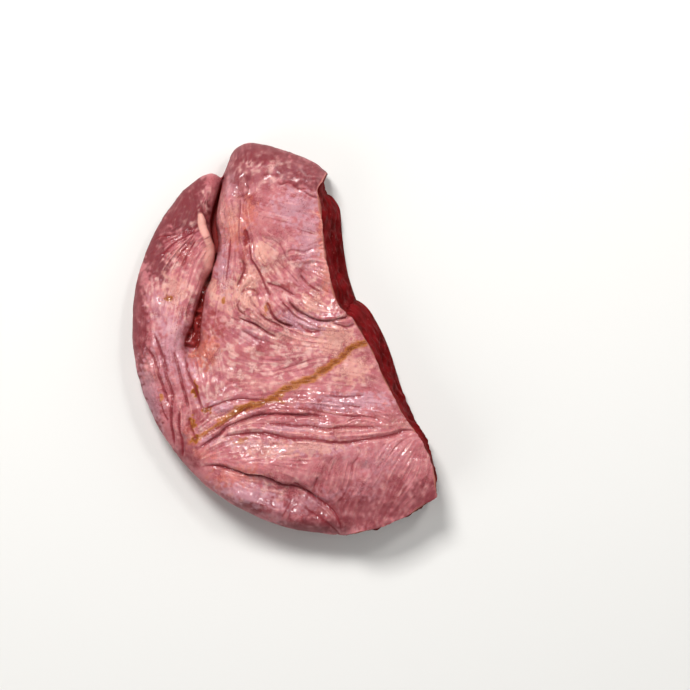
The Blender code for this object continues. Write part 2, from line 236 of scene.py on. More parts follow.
# %% Lines of the folds: photo pixels, depth, width of the crease, and how far the left side stands proud
FOLDS = [
    # body, below the tall lobe
    ([(250, 240), (251, 258), (256, 266), (260, 273), (263, 280), (265, 285), (268, 292), (273, 298)],
      1.3, 0.8, 0.7),
    ([(265, 280), (270, 284), (278, 286), (284, 289), (290, 293), (297, 297)], 1.2, 0.8, 0.7),
    ([(299, 273), (304, 280), (309, 285), (315, 289), (323, 293)], 1.3, 0.9, 0.5),
    ([(286, 300), (291, 304), (296, 309), (302, 313), (310, 317), (318, 320), (327, 321), (336, 320),
      (354, 316)], 2.0, 0.8, 1.9),
    ([(330, 322), (339, 325), (347, 327), (357, 323)], 1.1, 0.7, 0.7),
    ([(267, 300), (269, 308), (272, 314), (276, 319), (282, 323), (288, 325), (295, 327)], 1.9, 0.9, 1.3),
    ([(258, 311), (264, 317), (270, 321), (277, 324), (286, 329)], 1.3, 0.8, 0.7),
    ([(300, 326), (306, 330), (313, 332), (322, 331)], 1.1, 0.8, 0.5),
    ([(236, 317), (245, 321), (251, 323), (256, 325), (262, 329), (268, 333), (278, 337)], 1.8, 0.9, 0.9),
    ([(240, 329), (247, 333), (256, 338), (266, 342)], 1.0, 0.9, 0.4),
    ([(277, 297), (286, 306), (296, 316), (306, 321), (318, 326)], 0.9, 0.9, 0.4),
    ([(242, 259), (245, 268), (241, 279), (236, 288)], 1.2, 0.9, -0.4),
    ([(241, 296), (243, 291), (249, 289), (256, 291), (259, 297)], 1.0, 0.8, -0.6),
    ([(240, 299), (238, 306), (241, 312), (247, 314)], 1.0, 0.8, 0.5),
    # tall lobe
    ([(241, 196), (241, 210), (240, 222), (239, 232), (240, 242), (242, 248)], 0.8, 0.5, 0.0),
    ([(248, 183), (249, 192), (243, 197), (235, 199)], 0.5, 0.6, -0.8),
    ([(230, 236), (230, 252), (228, 266), (226, 284)], 1.1, 0.8, 0.0),
    ([(246, 229), (249, 238), (251, 246)], 1.3, 1.0, 0.0),
    ([(277, 181), (281, 185), (289, 183), (295, 187), (300, 190), (306, 189), (316, 192)], 0.9, 0.6, 0.9),
    ([(302, 190), (307, 194), (313, 197), (322, 199)], 1.0, 0.6, 0.5),
    ([(262, 177), (268, 175), (274, 175), (279, 180)], 0.8, 0.8, 0.4),
    ([(259, 231), (265, 238), (273, 240), (280, 245), (285, 254), (288, 262)], 0.7, 0.6, 0.3),
    ([(284, 254), (293, 250), (304, 252), (315, 247)], 0.7, 0.6, 0.2),
    # end flap, fanning out from the pinch in the lower left
    ([(203, 410), (216, 405), (228, 401), (242, 399), (256, 400), (268, 400)], 1.3, 0.7, 0.5),
    ([(192, 454), (201, 447), (211, 440), (220, 434), (226, 428), (234, 424), (244, 420), (256, 416),
      (269, 414), (283, 414), (297, 415), (312, 415), (330, 417)], 2.2, 0.9, 1.2),
    ([(292, 408), (307, 409), (323, 411), (344, 415), (364, 417)], 1.1, 0.7, 0.4),
    ([(258, 423), (273, 424), (287, 425), (297, 426), (311, 426), (328, 429), (345, 427), (361, 427),
      (374, 427), (385, 426)], 1.5, 0.7, 0.6),
    ([(214, 440), (228, 436), (242, 434), (256, 433), (270, 434), (283, 437), (295, 439), (307, 439),
      (323, 441), (332, 442), (347, 442), (361, 440), (374, 438), (387, 436), (397, 433), (405, 430),
      (424, 431)], 2.0, 0.8, 1.1),
    ([(196, 470), (206, 466), (220, 466), (233, 470), (246, 473), (259, 475), (273, 479), (283, 483),
      (294, 486), (305, 491), (317, 498), (327, 505), (334, 512), (340, 524), (342, 540)], 2.0, 0.9, 1.0),
    ([(292, 480), (300, 485), (309, 492), (318, 499)], 1.1, 0.7, 0.4),
    ([(303, 506), (318, 516), (328, 523), (337, 532), (342, 542)], 1.3, 0.9, 0.5),
    ([(357, 444), (360, 451), (358, 457), (353, 464), (351, 474)], 0.9, 0.7, 0.2),
    ([(318, 476), (315, 484), (312, 492)], 0.9, 0.7, 0.0),
    ([(293, 497), (288, 506), (283, 516)], 0.8, 0.8, 0.0),
    ([(298, 500), (292, 510), (288, 520)], 0.7, 0.8, 0.0),
    ([(329, 396), (345, 397), (366, 395)], 0.9, 0.8, 0.3),
    ([(340, 405), (352, 406), (364, 408)], 0.8, 0.8, 0.3),
    ([(345, 424), (355, 417), (372, 417), (381, 421)], 0.8, 0.8, 0.2),
    ([(198, 441), (212, 432), (226, 423), (240, 413), (256, 405)], 0.9, 0.9, 0.3),
    ([(202, 425), (214, 417), (228, 411), (240, 406)], 0.8, 0.9, 0.3),
    # lower lobe, down its outer side
    ([(146, 345), (151, 355), (156, 365), (160, 377), (163, 389), (166, 400), (169, 409)], 2.2, 0.8, 0.3),
    ([(152, 328), (158, 343), (162, 355), (165, 365), (167, 377), (170, 387), (172, 397), (171, 411),
      (171, 423), (172, 437), (174, 452)], 2.3, 0.8, 0.3),
    ([(174, 348), (177, 361), (180, 374), (183, 387), (186, 397), (189, 410)], 2.4, 0.8, -0.2),
    ([(160, 400), (164, 414), (169, 422)], 1.2, 0.7, 0.0),
    ([(180, 408), (179, 425), (181, 440), (182, 460)], 1.9, 0.8, 0.2),
    ([(184, 352), (187, 362), (190, 377), (195, 387), (201, 404), (205, 413)], 1.6, 0.8, -0.2),
    ([(189, 416), (190, 425), (194, 433), (196, 442)], 1.1, 0.9, 0.0),
    # lower lobe, drawn together at the cord
    ([(152, 240), (160, 236), (168, 236), (178, 234), (186, 232), (197, 226)], 1.0, 0.7, -1.6),
    ([(196, 230), (187, 236), (176, 242), (166, 250), (158, 257)], 1.2, 0.7, 0.2),
    ([(196, 234), (191, 239), (184, 249), (175, 261)], 1.0, 0.7, 0.2),
    ([(197, 239), (190, 249), (184, 261), (180, 270)], 0.9, 0.7, 0.0),
    ([(188, 234), (175, 238), (164, 244)], 0.9, 0.6, 0.0),
]
SHOULDER = 3.0  # how many times wider than its crease a fold's round shoulder is
FOLD_REACH = 7.0  # distance over which the side that stands proud sinks back
FOLD_FADE = 0.16  # share of a fold's length over which it starts and ends

folds = [(smooth_path(on_slab(line)), depth, width, proud) for line, depth, width, proud in FOLDS]
relief = np.zeros(MAP_SIZE)
gully = np.zeros(MAP_SIZE)
soaked = np.zeros(MAP_SIZE)


def round_over(distance, width):
    """0 at the edge and 1 from width inwards, along a quarter of an ellipse: sqrt(1 - (1 - d/w)^2)."""
    inward = 1 - np.clip(distance / width, 0, 1)
    return np.sqrt(np.clip(1 - inward**2, 0, 1))


def draw_fold(path, depth, width, proud):
    """Takes depth * (1 - round_over) off across the line, and on the proud side adds a lip that rises within
    half a millimetre of the line and sinks back over FOLD_REACH. The gully map gets depth along the line, and
    the soaked map 1 on the shoulders, because a crease holds the wet."""
    window, share, distance, left = near(path, 3 * FOLD_REACH)
    fade = smooth_step(share / FOLD_FADE) * smooth_step((1 - share) / FOLD_FADE)
    beside = np.where(left * np.sign(proud or 1) > 0, distance, 0.0)
    lip = abs(proud) * (1 - np.exp(-beside / 0.5)) * np.exp(-beside / FOLD_REACH)
    relief[window] += fade * (lip - depth * (1 - round_over(distance, SHOULDER * width)))
    # The gully map darkens the crease in the membrane's colour, as painted shade
    deep = depth * np.exp(-((distance / (0.25 * width + 0.3)) ** 2))
    gully[window] = np.maximum(gully[window], fade * deep)
    soaked[window] = np.maximum(soaked[window], fade * np.exp(-((distance / (SHOULDER * width)) ** 2)))


for fold in folds:
    draw_fold(*fold)
print(len(folds), "folds, deepest", round(-relief.min(), 1), "mm")

# %% [markdown]
# ## Fine wrinkles
#
# Between the folds the whole skin is finely wrinkled, and the wrinkles run the way the nearest folds run,
# or where there are none, the way the meat was stretched. So a direction is worked out for every spot of
# the map, and fine noise is combed along it: each spot takes the mean of the noise up and down its own
# line, which is how pictures of wind and water are drawn.

# %% Which way the skin runs
GRAIN = [
    [(215, 215), (222, 245), (220, 280), (212, 310)],
    [(232, 205), (236, 240), (233, 280), (238, 300)],
    [(262, 200), (290, 206), (318, 212)],
    [(262, 215), (290, 222), (320, 232)],
    [(255, 165), (280, 158), (310, 168)],
    [(250, 150), (275, 146), (300, 152)],
    [(290, 262), (315, 258), (332, 262)],
    [(206, 330), (214, 360), (216, 390)],
    [(230, 340), (250, 352), (290, 356)],
    [(235, 370), (270, 372), (310, 358)],
    [(300, 345), (330, 348), (360, 352)],
    [(340, 375), (365, 380), (385, 388)],
    [(152, 270), (148, 300), (146, 330)],
    [(180, 272), (172, 300), (166, 335)],
    [(196, 275), (186, 305), (178, 340)],
    [(165, 200), (160, 215), (163, 228)],
    [(184, 190), (190, 205), (186, 222)],
    [(412, 446), (402, 462), (392, 480), (384, 500)],
    [(426, 452), (424, 470), (414, 492), (400, 508)],
    [(388, 446), (378, 462), (368, 480), (352, 500)],
    [(345, 470), (340, 490), (330, 500)],
    [(360, 495), (352, 510), (350, 525)],
    [(300, 450), (270, 452), (240, 458)],
    [(225, 482), (250, 490), (285, 498)],
    [(240, 500), (270, 510), (300, 522)],
    [(140, 370), (148, 400), (160, 430)],
]
GRAIN_REACH = 9.0  # distance over which a line's direction holds against the others

COARSE = 6  # the directions are worked out for every sixth spot, and read between
coarse_x, coarse_y = map_x[::COARSE, ::COARSE], map_y[::COARSE, ::COARSE]
coarse_points = np.stack([coarse_x.ravel(), coarse_y.ravel()], axis=1)
doubled = np.zeros(len(coarse_points), complex)
for line in [fold[0] for fold in FOLDS] + GRAIN:
    line = smooth_path(on_slab(line), 2.0)
    share, distance, _ = nearest_on(line, coarse_points)
    nearest = np.minimum((share * len(line)).astype(int), len(line) - 1)
    heading = np.gradient(line[:, 0] + 1j * line[:, 1])[nearest]
    doubled += (heading / np.abs(heading)) ** 2 * np.exp(-distance / GRAIN_REACH) / (distance + 1.5) ** 2
doubled = doubled.reshape(coarse_x.shape)


def enlarge(values):
    """A coarse map at the full map's size, read straight between its places."""
    rows = np.arange(MAP_SIZE[0]) / COARSE
    columns = np.arange(MAP_SIZE[1]) / COARSE
    i = np.minimum(rows.astype(int), values.shape[0] - 2)
    j = np.minimum(columns.astype(int), values.shape[1] - 2)
    s, t = (rows - i)[:, None], (columns - j)[None, :]
    lower = values[i][:, j] * (1 - t) + values[i][:, j + 1] * t
    upper = values[i + 1][:, j] * (1 - t) + values[i + 1][:, j + 1] * t
    return lower * (1 - s) + upper * s


direction = np.sqrt(enlarge(doubled))  # as x + iy; halving the doubled angle makes both ways the same
direction /= np.abs(direction) + 1e-9


def combed(noise, reach):
    """The noise averaged over reach millimetres each way along the direction map, with a spread of 1."""
    stride = 1.5
    total = noise.copy()
    for way in (1, -1):
        column, row = np.meshgrid(np.arange(MAP_SIZE[1], dtype=float), np.arange(MAP_SIZE[0], dtype=float))
        heading = way * direction
        for _ in range(int(reach / SPOT / stride)):
            column += stride * heading.real
            row += stride * heading.imag
            j = np.clip(np.rint(column).astype(int), 0, MAP_SIZE[1] - 1)
            i = np.clip(np.rint(row).astype(int), 0, MAP_SIZE[0] - 1)
            ahead = direction[i, j]
            heading = np.where((ahead * heading.conj()).real < 0, -ahead, ahead)
            total += noise[i, j]
    return total / total.std()


fine_lines = combed(noise_map(2.2, 0.5, 1), 5.0)
coarse_lines = combed(noise_map(5.0, 1.1, 2), 9.0)
rumples = noise_map(12.0, 3.5, 3)
swells = noise_map(40.0, 12.0, 4)
blotches = 0.85 * noise_map(20.0, 3.6, 5) + 0.5 * combed(noise_map(6.0, 1.3, 6), 2.0)
print("combed wrinkles, from", round(float(fine_lines.min()), 1), "to", round(float(fine_lines.max()), 1))

# %% [markdown]
# ## Where the skin is wrinkled, fat or bloody
#
# The same skin is smooth over a fat pad and crumpled beside a fold. Each patch is an ellipse with a soft,
# uneven edge, and patches of one kind are laid over each other. What a patch does is up to its name; some
# of them also paint shadow, sheen or highlight.

# %% Patches: centre and radii in photo pixels, turn in degrees, strength
WRINKLED = [
    (275, 315, 55, 26, -30, 0.75), (250, 280, 16, 26, 0, 0.7), (262, 160, 34, 14, 0, 0.7),
    (224, 240, 9, 45, 0, 1.0), (300, 216, 30, 22, 0, 0.1), (221, 238, 5, 14, 0, 1.5),
    (320, 270, 16, 26, -20, 0.6), (320, 420, 90, 26, 5, 0.7), (168, 390, 22, 62, 12, 0.8),
    (175, 250, 26, 24, 40, 0.8), (400, 470, 36, 40, 0, 0.55), (340, 490, 40, 36, 0, 0.5),
    (265, 490, 50, 22, -20, 0.5), (302, 180, 17, 10, 0, 1.1), (200, 330, 14, 42, 0, 0.6),
    (255, 455, 60, 14, -4, 0.4), (143, 345, 10, 30, 0, 1.0), (190, 205, 22, 22, 0, 0.5),
    (250, 370, 50, 26, 0, 0.25), (215, 425, 28, 22, -30, 0.7),
]
# Cream fat; two of the patches, on the slit's right bank and at the right of the body, are painted highlight
# where the skin is lit
FAT_AND_HIGHLIGHT = [
    (263, 252, 10, 13, 20, 1.0), (275, 262, 12, 14, 0, 0.55), (312, 304, 12, 12, 0, 0.9),
    (333, 333, 13, 11, 0, 0.95), (352, 370, 20, 14, 20, 0.8), (250, 302, 10, 9, 0, 0.9),
    (252, 276, 11, 13, 20, 0.75), (174, 288, 14, 16, 20, 0.7), (228, 302, 9, 14, 0, 0.55),
    (215, 355, 9, 16, 0, 0.4), (262, 385, 30, 9, -10, 0.45), (290, 338, 26, 8, 0, 0.55),
    (240, 420, 16, 6, -25, 0.6), (330, 430, 44, 8, 4, 0.5), (300, 344, 12, 7, 0, 0.5),
    (327, 262, 12, 22, -10, 0.5), (230, 225, 12, 16, 0, 0.4), (348, 352, 14, 10, 0, 0.6),
    (213, 290, 5, 16, 12, 1.0), (262, 318, 16, 12, -20, 0.6), (330, 345, 16, 10, 0, 0.9),
    (248, 286, 10, 14, 0, 1.0), (280, 445, 40, 7, -3, 0.5), (272, 452, 26, 7, 0, 0.7),
    (150, 372, 9, 20, 0, 0.35), (396, 424, 18, 8, 0, 0.4), (232, 218, 11, 20, 0, 0.6),
    (345, 337, 10, 10, 0, 0.9), (222, 210, 8, 22, 0, 0.45), (308, 447, 40, 8, 3, 0.8),
    (262, 448, 26, 8, -5, 0.6), (243, 293, 12, 18, 10, 1.0), (226, 296, 8, 20, 8, 0.7),
    (205, 252, 4, 14, -8, 0.6), (193, 353, 6, 3, 20, 0.7),
]
PEACH = [
    (250, 211, 7, 18, 0, 0.7), (235, 230, 9, 18, 0, 0.7), (207, 350, 12, 18, 0, 0.8),
    (240, 352, 18, 12, 0, 0.35), (322, 225, 4, 26, 0, 0.8), (330, 275, 8, 20, -15, 0.7),
    (205, 340, 8, 12, 0, 0.6), (262, 276, 22, 16, 0, 0.35), (246, 255, 5, 14, 0, 0.5),
    (235, 475, 28, 10, 10, 0.6), (205, 455, 14, 8, -20, 0.5), (330, 296, 10, 8, 0, 0.4),
    (184, 255, 12, 10, 20, 0.4), (192, 436, 8, 14, 0, 0.6), (285, 410, 30, 6, 0, 0.3),
    (238, 214, 16, 24, 0, 0.35), (262, 225, 16, 14, 0, 0.3), (300, 300, 20, 10, 20, 0.3),
    (197, 354, 8, 5, 0, 1.1),
]
# Milky mauve film; the bands along the flap's folds and on the lower lobe are painted sheen
MAUVE_AND_SHEEN = [
    (295, 208, 26, 18, 0, 0.8), (222, 268, 8, 26, 5, 0.9), (175, 350, 22, 36, 10, 0.8),
    (305, 322, 32, 9, -10, 0.9), (300, 285, 12, 8, 0, 0.4), (352, 402, 46, 10, 3, 0.9),
    (252, 336, 16, 8, -15, 0.6), (222, 408, 26, 7, -12, 0.8), (380, 460, 26, 16, 20, 0.5),
    (150, 395, 12, 36, 12, 0.7), (295, 428, 40, 5, 3, 0.8), (366, 486, 22, 16, 0, 0.4),
    (300, 505, 46, 12, 18, 0.5), (215, 385, 12, 12, 0, 0.3), (285, 172, 30, 12, 0, 0.3),
    (232, 195, 8, 20, 0, 0.5), (205, 438, 14, 5, -25, 0.8), (280, 240, 16, 10, 0, 0.3),
    (160, 310, 12, 26, 8, 0.6), (345, 452, 24, 12, 0, 0.4), (318, 245, 10, 10, 0, 0.4),
    (312, 447, 44, 9, 4, 0.8), (260, 445, 40, 8, -4, 0.7), (308, 240, 12, 30, 0, 0.8),
    (250, 494, 34, 12, -14, 0.75),
]
# Dark pulp through thin film on the lobes; the patches along the left margin and the lower edge are painted
# shadow
DUSKY_AND_SHADOW = [
    (262, 152, 46, 16, 0, 1.0), (300, 172, 34, 18, -15, 0.9), (236, 170, 18, 28, 20, 0.8),
    (182, 208, 26, 30, 30, 1.25), (138, 325, 10, 62, 3, 0.95), (150, 245, 14, 42, 18, 1.2),
    (300, 530, 60, 13, 12, 0.9), (425, 500, 18, 24, 0, 0.9), (146, 405, 11, 40, 14, 1.2),
    (175, 462, 20, 16, 30, 0.7), (350, 515, 50, 14, -10, 0.8), (388, 490, 30, 20, -20, 0.6),
    (240, 512, 50, 12, 25, 0.8), (318, 180, 12, 14, 0, 0.8), (280, 490, 34, 12, 20, 0.4),
    (260, 178, 24, 14, 0, 0.5), (330, 505, 60, 16, 0, 0.8), (403, 410, 10, 20, 20, 0.3),
    (400, 500, 40, 20, -10, 0.7), (345, 488, 50, 12, 0, 0.5), (188, 450, 10, 22, 20, 0.7),
    (196, 420, 10, 30, 10, 0.4), (160, 225, 14, 20, 30, 1.0), (240, 150, 20, 14, 20, 0.8),
    (160, 330, 8, 40, 6, 0.4), (212, 398, 30, 16, 0, 0.3), (250, 502, 40, 12, -14, 0.6),
    (192, 184, 14, 14, 0, 1.1), (360, 505, 60, 14, -10, 0.9), (300, 505, 30, 10, 14, 0.8),
    (222, 188, 8, 14, 0, 0.6),
]
BLOODY = [
    (252, 200, 6, 7, 0, 0.6), (250, 218, 5, 8, 0, 0.5), (246, 238, 3, 8, 0, 1.0),
    (217, 328, 9, 16, 10, 0.7), (262, 352, 14, 9, 0, 0.5), (288, 286, 8, 5, 0, 0.7),
    (242, 420, 10, 3, -15, 0.3), (208, 319, 7, 10, 0, 0.6), (240, 340, 14, 12, 0, 0.3),
    (305, 352, 12, 6, 0, 0.25), (280, 272, 12, 9, 0, 0.4), (243, 265, 4, 12, 10, 0.6),
    (197, 420, 8, 12, 0, 0.5), (190, 425, 4, 10, 0, 0.7),
]
MOTTLED = [
    (275, 350, 75, 36, 0, 1.0), (275, 268, 22, 22, 0, 1.0), (172, 300, 26, 50, 5, 0.8),
    (190, 205, 26, 26, 0, 0.9), (215, 385, 24, 30, 0, 0.9), (300, 310, 46, 26, 0, 0.7),
    (245, 500, 40, 24, 20, 0.6), (240, 440, 50, 20, -10, 0.6), (340, 370, 26, 20, 0, 0.7),
    (262, 165, 40, 18, 0, 0.8), (318, 260, 14, 50, -8, 0.5), (240, 300, 24, 30, 0, 0.8),
]
WET = [
    (268, 454, 32, 9, -4, 1.3), (250, 480, 14, 7, 20, 1.2), (249, 497, 30, 12, -16, 1.4),
    (290, 491, 12, 7, 20, 1.0), (222, 240, 6, 18, 0, 1.2), (208, 295, 6, 12, 20, 1.0),
    (144, 346, 8, 24, 0, 1.2), (264, 337, 14, 6, 10, 1.3), (252, 278, 14, 26, 0, 1.1),
    (300, 318, 50, 18, 12, 1.0), (305, 174, 12, 12, 0, 1.3), (241, 190, 9, 14, 0, 1.3),
    (312, 280, 14, 18, 0, 0.9), (194, 340, 10, 22, 0, 1.2), (300, 402, 50, 12, 0, 0.7),
    (340, 420, 60, 14, 0, 0.6), (206, 266, 4, 8, 0, 1.2), (228, 282, 8, 20, 10, 0.7),
    (268, 152, 8, 4, 0, 0.5), (232, 165, 3, 8, 20, 0.5), (225, 428, 30, 14, -25, 0.7),
    (405, 465, 24, 26, 0, 0.5), (163, 298, 8, 5, 0, 1.0), (215, 370, 20, 30, 0, 0.5),
]


def over_ellipse(column, row, across, along, turn):
    """The map's spots along and across an ellipse given in photo pixels, measured in its own radii."""
    return in_radii(map_x, map_y, on_slab([(column, row)])[0], (across * PIXEL, along * PIXEL), turn)


def patch_map(patches, unevenness, seed):
    """The strongest of the patches at each spot. A patch is 1 - smooth_step over the distance from its
    centre, measured in its own radii, and noise shifts that distance so that its edge is uneven."""
    shift = noise_map(9.0, 2.2, seed) * unevenness
    total = np.zeros(MAP_SIZE)
    for *ellipse, strength in patches:
        u, v = over_ellipse(*ellipse)
        total = np.maximum(total, strength * (1 - ramp(np.hypot(u, v) + shift, 0.55, 1.35)))
    return total


wrinkled = 0.3 + patch_map(WRINKLED, 0.15, 11)
fat_and_highlight = patch_map(FAT_AND_HIGHLIGHT, 0.3, 12)
peach = patch_map(PEACH, 0.3, 13)
mauve_and_sheen = patch_map(MAUVE_AND_SHEEN, 0.3, 14)
dusky_and_shadow = patch_map(DUSKY_AND_SHADOW, 0.15, 15)
bloody = patch_map(BLOODY, 0.35, 16)
mottled = 0.35 + patch_map(MOTTLED, 0.2, 17)
wet = 0.25 + np.maximum(patch_map(WET, 0.2, 18), 0.8 * soaked)
print("patches: fat on", round(100 * float((fat_and_highlight > 0.3).mean())), "% of the map")

# %% [markdown]
# ## Bumps, the fat cord and the bile line
#
# Three things stand out of the skin or lie on it: knuckles of pulp and pads of fat that push it up, the
# pale cord of fat that edges the lower lobe beside the slit, and a brown line where bile has run along a
# vessel and stained the skin.

# %% Bumps, cord and bile
BUMPS = [  # centre, radii and turn as for a patch, height in millimetres
    (305, 167, 6, 3, -10, 0.6), (299, 173, 3, 4, 0, 0.7), (310, 172, 3, 5, 20, 0.6),
    (305, 179, 6, 3, 10, 0.8), (288, 181, 4, 3, 0, 0.8), (295, 184, 4, 3, 20, 0.8),
    (315, 181, 4, 4, 0, 0.6), (291, 174, 3, 3, 0, 0.6), (243, 186, 5, 9, 10, 1.0),
    (312, 304, 12, 9, -20, 1.3), (334, 333, 14, 9, 0, 0.8), (249, 302, 9, 8, 0, 1.3),
    (264, 256, 13, 15, 10, 0.9), (274, 328, 18, 5, -28, 0.9), (262, 316, 12, 4, -28, 0.8),
    (300, 321, 20, 5, -12, 0.8), (285, 304, 12, 5, -35, 0.6), (240, 270, 5, 12, 10, 0.8),
    (252, 281, 7, 5, 20, 0.6), (322, 281, 8, 4, -35, 0.7), (270, 452, 34, 5, 4, 0.5),
    (275, 428, 26, 3, 0, 0.5), (290, 419, 30, 3, -2, 0.4), (230, 430, 14, 4, -32, 0.5),
    (222, 408, 16, 3, -16, 0.5), (244, 499, 20, 4, -14, 0.5), (256, 489, 22, 4, -20, 0.4),
    (268, 462, 26, 4, 0, 0.4), (288, 494, 16, 4, -30, 0.5), (163, 350, 3, 20, 14, 0.5),
    (172, 372, 3, 22, 10, 0.5), (186, 376, 3, 20, 10, 0.4), (192, 330, 5, 10, 0, 0.5),
]
CORD = [
    (199, 210), (200, 216), (201, 225), (204, 234), (207, 242), (209, 249), (208, 258), (208, 268),
    (205, 281),
]
CORD_RADIUS = 1.6
CORD_HEIGHT = 2.3
BILE = [
    (369, 340), (365, 342), (353, 347), (348, 352), (343, 357), (335, 362), (328, 368), (320, 372),
    (313, 377), (307, 380), (298, 383), (290, 387), (283, 390), (275, 397), (268, 400), (253, 406),
    (240, 411), (226, 419), (207, 432), (191, 442),
]
BILE_UPPER = [(254, 403), (246, 406), (233, 412), (218, 420)]
BILE_SPOTS = [
    (208, 410, 5, 3, 20, 1.0), (196, 390, 3, 6, 0, 0.9), (225, 422, 4, 3, 0, 0.6), (192, 423, 3, 8, 0, 0.8),
    (196, 439, 4, 4, 0, 0.9), (168, 298, 5, 3, 0, 0.8), (224, 299, 2, 6, 0, 0.6),
    (267, 307, 3, 6, -30, 0.5), (162, 398, 2, 5, 0, 0.5), (276, 400, 8, 2, -15, 0.5),
    (240, 440, 8, 3, 0, 0.4),
]

for *ellipse, height in BUMPS:  # height * exp(-r^3), with r the distance measured in the ellipse's radii
    u, v = over_ellipse(*ellipse)
    relief += height * np.exp(-((u * u + v * v) ** 1.5))

cord = np.zeros(MAP_SIZE)
window, share, distance, _ = near(smooth_path(on_slab(CORD)), 8.0)
cord_radius = CORD_RADIUS * (0.6 + 0.4 * ramp(share, 0.0, 0.3) + 0.9 * ramp(share, 0.45, 0.8))
round_top = np.exp(-((distance / cord_radius) ** 2))
cord_height = CORD_HEIGHT * (1 - 0.35 * ramp(share, 0.45, 1.0)) * (1 - ramp(share, 0.8, 1.0))
relief[window] += cord_height * round_top
cord[window] = (1 - 0.7 * ramp(share, 0.6, 0.95)) * ramp(round_top, 0.1, 0.8) * ramp(share, 0.0, 0.1)

bile = 0.9 * patch_map(BILE_SPOTS, 0.4, 21)
streaks = ramp(coarse_lines + 0.6 * fine_lines, -1.2, 0.6)
for line, width in ((BILE, 1.5), (BILE_UPPER, 1.2)):
    window, share, distance, _ = near(smooth_path(on_slab(line)), 6.0)
    spread = width * (1.25 - 0.7 * np.abs(share - 0.35)) * (1 + 0.2 * rumples[window])
    stain = np.exp(-((distance / np.maximum(spread, 0.3)) ** 2)) * (0.45 + 0.55 * streaks[window])
    bile[window] = np.maximum(bile[window], stain * (1 - 0.35 * ramp(share, 0.5, 0.8)))

# The wrinkles' height in millimetres: lines of noise for their ridges, less a groove where a line crosses 0
valleys = np.exp(-((coarse_lines / 0.32) ** 2))
fine_valleys = np.exp(-((fine_lines / 0.4) ** 2))
fine_relief = wrinkled * (0.24 * coarse_lines - 0.36 * valleys + 0.09 * fine_lines - 0.1 * fine_valleys)
fine_relief = fine_relief * (1 - 0.8 * cord) + 0.08 * rumples + 0.45 * swells
# The wrinkles' valleys join the gully map, and so are painted darker as shade too
gully = np.clip(gully + wrinkled * (0.55 * valleys + 0.25 * fine_valleys), 0, 2)
print("relief from", round(float(relief.min()), 1), "to", round(float(relief.max()), 1), "mm")
print("fine relief spreads over", round(float(fine_relief.std()), 2), "mm")

# %% [markdown]
# ## The slab under the skin
#
# The slab's own height carries all of that relief. It is 26 mm thick with a few swellings, it rolls over
# to its natural margin as a quarter of an ellipse does, and it falls away into the slit between the lobes.

# %% Height of the slab
THICKNESS = 26.0
MARGIN_HEIGHT = 0.42  # where the natural margin reaches furthest out, as a share of the height there
LOWER_LOBE_DROP = 7.0  # how much lower the lower lobe's tip lies
LOWER_LOBE_RAMP = (-22.0, 68.0)  # from where to where up the slab it falls away
SLIT_FLOOR = 8.0
SLIT_BANK = 7.0  # width over which the slit's banks round down
TORN_TISSUE = 5.0  # how high torn tissue stands on the slit's floor
TORN_START = (0.45, 0.7)  # shares of the slit's length between which it rises
# Shares of the natural margin's length, and how wide it rolls over there
MARGIN_ROLL = [(0.0, 9.0), (0.1, 11.0), (0.25, 12.0), (0.4, 18.0), (0.66, 12.0), (0.8, 12.0), (1.0, 15.0)]
SWELLINGS = [  # centre, radii along and across, turn in degrees, height
    ((-6.0, 70.0), (30.0, 26.0), 0.0, 5.0),
    ((9.0, 77.0), (7.0, 5.0), -20.0, 1.3),
    ((-25.0, 55.0), (26.0, 6.0), 85.0, 1.6),
    ((-9.0, 36.0), (13.0, 10.0), 60.0, 1.6),
    ((-38.5, 44.0), (17.0, 3.5), 84.0, 2.0),
    ((12.0, -54.0), (40.0, 12.0), 4.0, 3.4),
    ((-15.0, -80.5), (28.0, 8.0), -24.0, 5.0),
    ((-7.0, -69.5), (24.0, 6.0), -17.0, -3.5),
    ((-8.0, -63.5), (20.0, 8.0), 0.0, 3.2),
    ((-14.0, 15.0), (13.0, 9.0), -20.0, 1.8),
    ((55.0, -66.0), (16.0, 14.0), 20.0, 1.4),
    ((30.0, 4.0), (15.0, 8.0), -35.0, 1.2),
]
slit_line = smooth_path(SLIT)


def slab_height(points):
    """Height of the slab over each place in plan, and that place's distance from the natural margin."""
    x, y = points.T
    height = np.full(len(points), THICKNESS)
    for centre, radii, turn, rise in SWELLINGS:
        u, v = in_radii(x, y, centre, radii, turn)
        height += rise * np.exp(-(u**2) - v**2)
    share, distance, left = nearest_on(slit_line, points)
    height -= LOWER_LOBE_DROP * smooth_step(0.5 - left / 3) * ramp(y, *LOWER_LOBE_RAMP)
    margin_share, margin_distance, _ = nearest_on(even_margin, points)
    roll = np.interp(margin_share, *zip(*MARGIN_ROLL))
    height *= MARGIN_HEIGHT + (1 - MARGIN_HEIGHT) * round_over(margin_distance, roll)
    half_width = values_at(slit_line, share)[:, 2]
    tissue = TORN_TISSUE * ramp(share, *TORN_START) * (1 + 0.12 * read_map(rumples + swells, points))
    floor = np.minimum(SLIT_FLOOR + tissue, height)
    return floor + (height - floor) * round_over(distance - half_width, SLIT_BANK), margin_distance


even_margin = at_share(natural_margin, np.linspace(0, 1, 500))

# %% [markdown]
# ## A grid over the slab
#
# The skin's mesh is one grid of cells, bent so that its rim is the slab's outline. Blending the four sides
# into each other gives a first grid, and evening it out, as engineers do for flow round a wing, keeps its
# cells from folding over at the notch between the lobes. Cells are then drawn towards the margin and the
# slit, because the skin is steep there and a view from above would starve it of them.

# %% Plan of the grid
COLUMNS = 250
ROWS = 330
EVENING_GRID = (58, 70)  # columns and rows of the coarse grid that is evened out
EVENING_ROUNDS = 500
SLIT_CROWDING = 0.5  # how far cells beside the slit are drawn in to it
SLIT_REACH = 9.0  # distance over which they are
MARGIN_CROWDING = 0.85  # and how far those on the rolled margin are
OFF_THE_CUTS = (0.5, 12.0)  # distance from the long cut over which the margin's own rules set in


